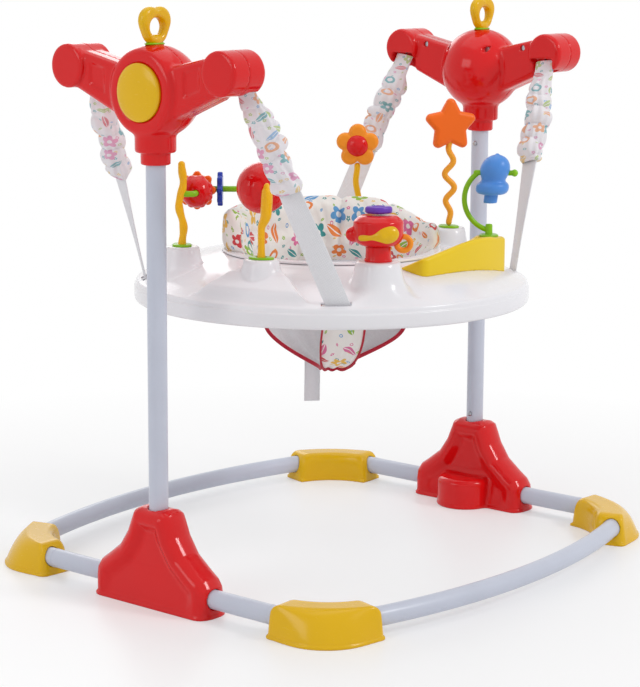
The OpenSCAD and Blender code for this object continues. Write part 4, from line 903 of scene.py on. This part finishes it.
drum_at = SPINNER + (0, 0, DRUM_LIFT)
spinner_drum = net(spinner_form, (-49, -38, 0), (38, 38, 46), 1.5)
badge = net(badge_form, (-31, -42, 3), (31, -13, 37), 1.2)
ear = net(ear_form, (21, -5, -12), (51, 5, 18), 1.1)
rotor = net(rotor_form, (-20, -17, 0), (20, 17, 11), 1)
toy("spinner_foot", lathe(SPINNER_FOOT), SPINNER, RED, "tray", "spinner_base", a=0)
toy("spinner_drum", spinner_drum, drum_at, RED, "spinner", "spinner_body")
toy("spinner_badge", badge, drum_at, YELLOW, "spinner")
toy("spinner_ear", ear, drum_at, LIGHT_ORANGE, "spinner")
toy("spinner_knob", rotor, drum_at + (0, 0, KNOB_LIFT), PURPLE, "rotor", "spinner_rotor")

# Music pod, with a landing for the swing, and the swing
POD_RUN = [(-85, 79), (-62, 84), (-39, 88), (12, 97), (41, 101), (71, 103), (100, 102), (125, 98), (150, 97)]
POD_RUN = curve(POD_RUN, 40)
POD_FRONT_R = 768
POD_LANDING = 19
SWING_POST = [(0, 0), (6.6, 0), (6.8, 1), (5.7, 4), (5.4, 17), (4.6, 18.6), (0, 19)]
SWING_H, ARC_R = 97, 49.3
SWING_LEAN = 0.13
SWING_DRUMS = ((-6, 10, 18, 3, 3), (-23, 9.5, 25, 8.5, 4), (-38, 8, 10.5, 1.5, 2))


def pod_form(p):
    x, y, z = p.T
    front = np.hypot(x - 49, y - 537) - POD_FRONT_R
    plan = both(front, np.maximum(-62 - x, x - 149), 14)
    plan = both(plan, 174 - np.hypot(x, y), 4)
    wall = np.interp(x, *POD_RUN.T) - 0.45 * np.maximum(-front - 6, 0)
    aside = np.hypot(x - SWING_SPOT[0], y - SWING_SPOT[1])
    landing = POD_TOP - TRAY_Z - 0.7 * np.maximum(aside - POD_LANDING, 0)
    top = 0.8 * (z - TRAY_Z + join(-wall, -landing, 6))
    return np.maximum(rounded(plan, top, 4), TRAY_Z + tray_height(x, y) - 0.6 - z)


put("pod", net(pod_form, (-66, -234, 430), (150, -80, 507), 2), POD_YELLOW, "tray", "music_pod")
arc = np.radians(np.linspace(252, 128, 30))
arm_path = np.stack([11.3 + ARC_R * np.cos(arc), 0 * arc, 57 + ARC_R * np.sin(arc)], 1)
arm = merged(
    lathe(SWING_POST, 32),
    sweep(np.vstack([[(1.5, 0, 11)], arm_path]), [3.6] + [4] * len(arm_path), wide=(0, 1, 0)),
    sweep([(x, 0, SWING_H) for x in (-21, 0, 20, 33, 35, 37)], [4, 4, 4, 4, 5, 5.6]),
)
toy("swing_bracket", arm, SWING, GREEN, "tray", "swing_arm", a=SWING_A)


def swing_form(p):
    axle = bore(p, 0, 4.3)
    p = np.stack([p[:, 0] - SWING_LEAN * p[:, 2], p[:, 1], p[:, 2]], 1)
    form = ball(p, (0, 0, 5), 22.6)
    for z, half, r, edge, k in SWING_DRUMS:
        form = join(form, drum(p, (0, 0, z), 2, half, r, edge), k)
    form = join(form, ball(p, (0, 0, 27), 2.6), 3)
    return cut(form, axle, 1)


figure = net(swing_form, (-31, -26, -47), (30, 26, 31), 1.4)
figure_at = SWING + turned((7, 0, SWING_H), SWING_A)
toy("swing_figure", figure, figure_at, BLUE, "swinger", "swing_toy", a=SWING_A)

# Straps: webbing from the tray, and a gathered sleeve round each spring
STRAP_TOP = np.array((368, 140, 760))
STRAP_END = np.array((218.0, 188.2, 440.5))
STRAP_LEN = np.linalg.norm(STRAP_END - STRAP_TOP)
STRAP_D = (STRAP_END - STRAP_TOP) / STRAP_LEN
SLEEVE_START, SLEEVE_END = 9, 181
SLEEVE_CUT = (0.108, 0.24)
EYE_R, WIRE_R, COIL_R, COIL_TURNS = 4.35, 1.25, 6.75, 40
COIL_START, COIL_END, BAR_S, BAR_HALF = 46, 158, 176, 12


def strap_frame(s):
    """Middle, width and face directions of a strap at distances s from its pin."""
    t = ease(s / STRAP_LEN)[:, None]
    a = radians(SLOT_A)
    wide = (1 - t) * (0, 1, 0) + t * (-sin(a), cos(a), 0)
    wide = wide - np.outer(wide @ STRAP_D, STRAP_D)
    wide /= size_of(wide)[:, None]
    return STRAP_TOP + np.outer(s, STRAP_D), wide, np.cross(STRAP_D, wide)


def on_strap(s, x, y):
    """Points at distances s along a strap, x across it and y out of it."""
    middle, wide, face = [v[:, None] for v in strap_frame(s)]
    return middle + x[..., None] * wide + y[..., None] * face


def laid(across, along):
    """Where the points of a strap lie on its flat cloth."""
    return np.stack(np.broadcast_arrays(across[None], along[:, None]), -1)


def sleeve_shape(seed):
    """Cloth tube, open along its seam: flat at its pin, then puffed between crooked creases."""
    rng = np.random.default_rng(seed)
    rows, cols = 210, 85
    s = np.linspace(SLEEVE_START, SLEEVE_END, rows)
    th = np.linspace(0, TURN, cols)
    row = s[:, None]
    full = ease((row - 24) / 46) * np.clip((SLEEVE_END - row) / 12, 0, 1) ** 0.5
    creases = []
    mark = 18.0
    while mark < SLEEVE_END + 20:
        lean, phase = rng.uniform(2, 7), rng.uniform(0, TURN)
        creases.append(mark + lean * np.sin(th + phase) + 0.35 * lean * np.sin(2 * th + 2 * phase))
        mark += rng.uniform(17, 31)
    puff = np.zeros((rows, cols))
    for low, high in zip(creases, creases[1:]):
        share = np.clip((row - low) / np.maximum(high - low, 6), 0, 1)
        bulge = rng.uniform(4.5, 9) * (1 + 0.55 * np.sin(th + rng.uniform(0, TURN)))
        puff += bulge * np.sin(pi * share) ** 0.6
    for _ in range(8):
        k, phase, tilt = rng.integers(4, 12), rng.uniform(0, TURN), rng.uniform(-0.09, 0.09)
        puff += 0.55 * np.sin(k * th + phase + tilt * row)
    x = (17 + full * (0.6 + 0.75 * puff)) * np.cos(th)
    y = (4.5 + full * (8 + 0.75 * puff)) * np.sin(th)
    x = x + full * 2 * np.sin(row / 17 + rng.uniform(0, TURN))
    around, along = [np.linspace(0, size / MM, n) for size, n in zip(SLEEVE_CUT, (cols, rows))]
    return (on_strap(s, x, y), grid_faces(rows, cols)), laid(around, along)


def band(quarter):
    """Section of a strap, from a quarter that ends in the middle of its upper face."""
    upper = quarter + [(-x, y) for x, y in quarter[-2::-1]]
    return np.array(upper + [(x, -y) for x, y in upper[-2:0:-1]])


def web_shape():
    s = np.concatenate([np.linspace(BAR_S, 379, 70), [382, 386, 389]])
    x, y = band([(-17, 0), (-16.8, 0.7), (-16, 1), (0, 1.15)])[::-1].T
    return (on_strap(s, x, y), capped(len(s), len(x))), laid(x, s)


def spring_shape():
    """Coil with an eye round its pin, legs at both ends and a bar for the webbing."""
    down = STRAP_D * (1, 0, 1) / np.linalg.norm(STRAP_D * (1, 0, 1))
    aside = np.cross((0, 1, 0), down)
    turn = np.radians(np.linspace(20, 350, 30))[:, None]
    eye = STRAP_TOP + EYE_R * (np.cos(turn) * down + np.sin(turn) * aside)
    t = np.linspace(0, 1, COIL_TURNS * 12)
    middle, wide, face = strap_frame(COIL_START + (COIL_END - COIL_START) * t)
    r = (COIL_R * np.clip(np.minimum(t, 1 - t) * COIL_TURNS, 0.1, 1))[:, None]
    turn = (TURN * COIL_TURNS * t)[:, None]
    coil = middle + r * (np.cos(turn) * wide + np.sin(turn) * face)
    upper = STRAP_TOP + np.outer((EYE_R + 4, 25, COIL_START - 3), STRAP_D)
    lower = STRAP_TOP + np.outer((COIL_END + 3, BAR_S), STRAP_D)
    wire = np.vstack([eye, upper, coil, lower])
    bar = on_strap(np.array([BAR_S]), BAR_HALF * np.array((-1, 0, 1)), np.zeros(3))[0]
    return merged(sweep(wire, WIRE_R, 8), sweep(bar, 2, 16))


def hung(name, shape, material, replaced, flip, uv=None):
    """A piece that is pinned to the frame and stretches down to the tray."""
    obj = put(name, shape, material, None, replaced, flip=flip, uv=uv)
    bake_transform(obj)
    return obj


spring_form = spring_shape()
web_form, web_uv = web_shape()
soft_seed = 3
for side, sign in SIDES:
    for end, other in ENDS:
        soft_seed += 1
        name = f"{end}_{side}"
        flip = np.array((sign, other, 1))
        sleeve_form, uv = sleeve_shape(soft_seed)
        sleeve = hung(f"gathered_sleeve_{name}", sleeve_form, PRINT_PALE, f"sleeve_{name}", flip, uv)
        spring = hung(f"coil_spring_{name}", spring_form, STEEL, "suspension_springs", flip)
        web = put(f"webbing_{name}", web_form, WEBBING, "tray", "tray_straps", flip=flip, uv=web_uv)

# Seat: padded back, sling and tail
SEAT_A = 229
PAD_R, PAD_SWEEP = 135.6, 108
PAD_LOW, PAD_TOP = 432, 547
PAD_THICK, PAD_SLACK = 17, 4
PAD_CHANNELS = 7
PAD_VOXEL = 0.005
SWELL_FRAMES, SWELL_CAP, SWELL_PRESSURE = 20, 0.009, 4


def pad_lean(z):
    """How far the pad leans out over the tray at a height."""
    return 14 * ease((z - 464) / 26)


def pad_plan(t):
    """Fullness towards the ends, lower edge and top of the pad along its sweep."""
    end = np.clip(np.minimum(t, 1 - t) / 0.05, 0, 1)
    end = np.sqrt(1 - (1 - end) ** 2)
    low = PAD_LOW + 12 * (1 - end)
    top = PAD_TOP - 26 * ease((PAD_SWEEP * (1 - 2 * t) - 30) / 60)
    return end, low, low + (top - low) * (0.55 + 0.45 * end)


def pad_start():
    """The pad before it swells: a little small, and smooth."""
    rows, cols = 130, 48
    t = np.linspace(0, 1, rows)
    f = np.linspace(0, TURN, cols, endpoint=False)
    end, low, top = pad_plan(t)
    across = np.sign(np.cos(f)) * np.abs(np.cos(f)) ** 0.75
    up = np.sign(np.sin(f)) * np.abs(np.sin(f)) ** 0.8
    z = ((low + top) / 2)[:, None] + ((top - low) / 2 - PAD_SLACK)[:, None] * up
    thick = np.maximum(PAD_THICK * (0.15 + 0.85 * end) - PAD_SLACK, 2)
    r = PAD_R + pad_lean(z) + thick[:, None] * across
    a = np.radians(PAD_SWEEP * (2 * t - 1) + SEAT_A + 180)[:, None]
    return np.stack([r * np.cos(a), r * np.sin(a), z], -1), capped(rows, cols)


def evaluated(obj):
    """An object's mesh with its modifiers applied; the object is removed."""
    graph = bpy.context.evaluated_depsgraph_get()
    mesh = bpy.data.meshes.new_from_object(obj.evaluated_get(graph))
    bpy.data.objects.remove(obj)
    return mesh


def points_of(mesh):
    flat = np.empty(3 * len(mesh.vertices))
    mesh.vertices.foreach_get("co", flat)
    return flat.reshape(-1, 3)


def swollen(shape):
    """Cloth blown up: remeshed, simulated with its movement capped, and subdivided."""
    form = made("pad_form", shape, PRINT)
    remesh = form.modifiers.new("remesh", "REMESH")
    remesh.mode = "VOXEL"
    remesh.voxel_size = PAD_VOXEL
    mesh = evaluated(form)
    blown = shown("pad_blown", mesh.copy())
    settings = blown.modifiers.new("cloth", "CLOTH").settings
    settings.use_pressure = True
    settings.uniform_pressure_force = SWELL_PRESSURE
    settings.effector_weights.gravity = 0
    for step in range(1, SWELL_FRAMES + 1):
        scene.frame_set(step)
    rest = points_of(mesh)
    move = points_of(evaluated(blown)) - rest
    scene.frame_set(1)
    capped_move = move * np.minimum(1, SWELL_CAP / (size_of(move) + 1e-9))[:, None]
    mesh.vertices.foreach_set("co", (rest + capped_move).ravel())
    smooth = shown("pad_smooth", mesh)
    smooth.modifiers.new("round", "SUBSURF").levels = 1
    mesh = evaluated(smooth)
    return points_of(mesh) / MM, [list(face.vertices) for face in mesh.polygons]


def sewn(verts):
    """Draw the swollen pad in along its sewn channels, crease it, and lay out the print."""
    rng = np.random.default_rng(11)
    x, y, z = verts.T
    a = (np.degrees(np.arctan2(y, x)) - SEAT_A) % 360 - 180
    t = np.clip((a / PAD_SWEEP + 1) / 2, 0, 1)
    end, low, top = pad_plan(t)
    middle, half = (low + top) / 2, (top - low) / 2
    run = np.abs((t * PAD_CHANNELS + 0.5) % 1 - 0.5)
    between = np.minimum(t, 1 - t) > 0.5 / PAD_CHANNELS
    seam = np.where(between, np.exp(-((run / 0.07) ** 2)), 0)
    aside = np.hypot(x, y) - PAD_R - pad_lean(z)
    up = (z - middle) / half
    around = (np.arctan2(up, aside / PAD_THICK) + pi / 2) % TURN
    f = np.linspace(0, TURN, 90)
    loop = np.stack([PAD_THICK * np.sin(f), -half.mean() * np.cos(f)], 1)
    length = np.cumsum(size_of(np.diff(loop, axis=0, prepend=loop[:1])))
    u, v = np.radians(a) * PAD_R, np.interp(around, f, length)
    inside = np.hypot(aside / PAD_THICK, up)
    cap = ease((np.abs(a) / PAD_SWEEP - 0.88) / 0.08) * ease((0.95 - inside) / 0.15)
    wall = length[-1] * (up + 1) / 4
    v = v + cap * (np.where(aside > 0, wall, length[-1] - wall) - v)
    u = u + cap * np.sign(a) * (PAD_THICK * np.sqrt(np.clip(1 - up**2, 0, 1)) - np.abs(aside))
    crease = np.zeros(len(z))
    for _ in range(30):
        at, deep, tilt = rng.uniform(0, 1), rng.uniform(0.5, 1.4), rng.uniform(-0.6, 0.6)
        line = (t - at) * 500 + tilt * (z - 490)
        crease -= deep * np.exp(-((line / rng.uniform(3, 6)) ** 2))
    aside = aside * (1 - 0.45 * seam) + crease * np.clip(aside / PAD_THICK, -1, 1) * end
    z = middle + half * up * (1 - 0.1 * seam * (up > 0))
    r = PAD_R + pad_lean(z) + aside
    spin = np.radians(a + SEAT_A + 180)
    return np.stack([r * np.cos(spin), r * np.sin(spin), z], 1), np.stack([u, v], 1)


verts, faces = swollen(pad_start())
verts, uv = sewn(verts)
pad = put("padded_back", (verts, faces), PRINT, "seat", "seat_pad", uv=uv)

SLING_MID, SLING_LOW = 12, 291
FRONT_R, FRONT_Z = 150.2, 445
BACK_R, BACK_Z = 135.6, 429.2
BINDING_R, BINDING_FLAT = 3.2, 0.5
FOOT_U, FOOT_BOW = -0.3, 0.24


def sling_point(u, v):
    """Point of the sling: u from the front, -1, to the back, 1, and v from edge to edge."""
    front = 20 + 12 * ease(-u * 1.6) + 14 * ease((-u - 0.75) * 4)
    back = 20 + 89 * ease(u * 1.6)
    g = v * np.where(u < 0, front, back) + 14 * ease(2 * u)
    f = np.abs(u)
    edge = np.where(u < 0, np.sqrt(FRONT_R**2 - g * g), -np.sqrt(BACK_R**2 - g * g))
    top = np.where(u < 0, FRONT_Z, BACK_Z)
    folds = 3 * np.cos(6 * pi * v) * ease(2 * u) * ease(4 * (1 - u))
    folds = folds + 1.2 * np.sin(9 * v + 5 * u) * ease(3 * (1 - f))
    x = SLING_MID * (1 - f**0.85) + edge * f**0.85
    z = SLING_LOW + (top - SLING_LOW) * f**1.9 + folds + 1.5
    return np.stack([x, g, z], -1)


def bound(points):
    """Binding tape along an edge of the sling."""
    return sweep(turned(points, SEAT_A), BINDING_R, 12, BINDING_FLAT)


rows, cols = 121, 61
u, v = np.meshgrid(np.linspace(-1, 1, rows), np.linspace(-1, 1, cols), indexing="ij")
points = sling_point(u, v)
sling_shape = (turned(points.reshape(-1, 3), SEAT_A), grid_faces(rows, cols))
sling_uv = np.stack([points[..., 1], 190 * u], -1)
sling = put("seat_cloth", sling_shape, SLING, "seat", "seat_sling", uv=sling_uv)
sling.data.materials.append(PRINT)
in_front = u[:-1, :-1].ravel() < -0.02
sling.data.polygons.foreach_set("material_index", in_front.astype(int))
u_edge = np.linspace(-0.98, 0.98, 120)
v_foot = np.linspace(-1, 1, 60)
foot_line = sling_point(FOOT_U + FOOT_BOW * np.sqrt(1 - v_foot**2), v_foot) + (1.2, 0, -1.2)
edges = [bound(sling_point(u_edge, np.full(120, v_edge))) for v_edge in (-1, 1)]
binding = put("sling_binding", merged(*edges, bound(foot_line)), BINDING, "seat")

TAIL_SIDE, TAIL_LOW, TAIL_WIDTH = -20, 224, 0.025
tail_top = sling_point(np.array([0.42]), np.array([TAIL_SIDE / 70]))[0] - (0, 0, 6)
t = np.linspace(0, 1, 30)
drop = tail_top[2] - TAIL_LOW
tail_x = tail_top[0] + 2.2 * np.sin(5 * t) * t
tail_line = np.stack([tail_x, np.full(len(t), TAIL_SIDE), tail_top[2] - drop * t], 1)
wide, thick = band([(-12.5, 0), (-12.1, 0.7), (0, 0.8)]).T
tail_points = tail_line[:, None] + np.stack([thick, wide, 0 * wide], 1)
tail_shape = (turned(tail_points, SEAT_A), capped(len(t), len(wide)))
tail = put("hanging_tail", tail_shape, WEBBING, "seat", "tail_strap", uv=laid(wide, drop * t))

# Pieces that stay as they were drawn
FINISHES = {SLOTS[m.name]: m for m in (PAINT, STEEL, INNER, WHITE, RED, YELLOW)}
for part in frame["record"]["subparts"]:
    obj = frame["nodes"].get(part["node"])
    if obj is not None and not obj.hide_render:
        obj.data.materials.clear()
        obj.data.materials.append(FINISHES.get(part["material_slot"], INNER))


# Floor, light and camera
def seen_share(tree):
    """1 for a ray from the camera, a reflection or a clear part, and 0 for the light on the object."""
    path = node(tree, "LightPath").outputs
    mirrors = maths("MAXIMUM", path["Is Glossy Ray"], path["Is Transmission Ray"])
    return maths("MAXIMUM", path["Is Camera Ray"], mirrors)


FLOOR_HALF = 45000
WHITE_FROM, WHITE_TO, WHITE_LEAST = 0.5, 1.3, 0.35
floor_corners = FLOOR_HALF * np.array(((-1, -1, 0), (1, -1, 0), (1, 1, 0), (-1, 1, 0)))
floor_look, shader, where = fresh("pale_floor", "floor")
fill(shader, Base_Color=(0.93, 0.93, 0.94, 1), Roughness=0.35, Specular_IOR_Level=0.25)
far = maths("LENGTH", where, kind="VectorMath", out=1)
spread = node(where, "MapRange", Value=far, From_Min=WHITE_FROM, From_Max=WHITE_TO, To_Min=WHITE_LEAST)
glow = node(where, "Emission", Color=(1, 1, 1, 1), Strength=1.0)
mixed = node(where, "MixShader", Fac=maths("MULTIPLY", spread.outputs[0], seen_share(where)))
feed(mixed.inputs[1], shader.outputs[0])
feed(mixed.inputs[2], glow.outputs[0])
fill(floor_look.node_tree.nodes["Material Output"], Surface=mixed.outputs[0])
made("floor", (floor_corners, [(0, 1, 2, 3)]), floor_look)

SKY = 0.55
world = bpy.data.worlds.new("studio")
scene.world = world
world.use_nodes = True
strength = maths("MULTIPLY_ADD", seen_share(world.node_tree), 1 - SKY, SKY)
fill(world.node_tree.nodes["Background"], Color=(1, 1, 1, 1), Strength=strength)


def aimed(place, target):
    return (Vector(target) - Vector(place)).to_track_quat("-Z", "Y")


def lamp(name, place, size, power):
    light = bpy.data.lights.new(name, "AREA")
    light.shape = "RECTANGLE"
    light.size, light.size_y = size
    light.energy = power
    obj = shown(name, light)
    obj.location = place
    obj.rotation_euler = aimed(place, MIDDLE).to_euler()


MIDDLE = (0, 0, 0.45)
lamp("key", (0.9, -2.7, 2.5), (0.8, 0.8), 36)
lamp("fill", (-2.9, 0.6, 1.7), (1.6, 1.2), 15)
lamp("top", (0.2, 0.4, 3.0), (2.2, 2.2), 12)
lamp("back", (1.6, 2.4, 1.6), (1.2, 1.2), 8)

CAMERA_AT = (-2.5398, -2.0848, 0.9363)
CAMERA_TO = (-0.0110, 0.0132, 0.3266)
ROLL = Matrix.Rotation(radians(0.298), 4, Vector((0, 0, 1)))
camera = bpy.data.cameras.new("camera")
camera.sensor_fit = "VERTICAL"
camera.sensor_height = 36
camera.lens = 113.02
camera_obj = shown("camera", camera)
camera_obj.location = CAMERA_AT
camera_obj.rotation_euler = (aimed(CAMERA_AT, CAMERA_TO).to_matrix().to_4x4() @ ROLL).to_euler()
scene.camera = camera_obj
scene.view_settings.view_transform = "Standard"
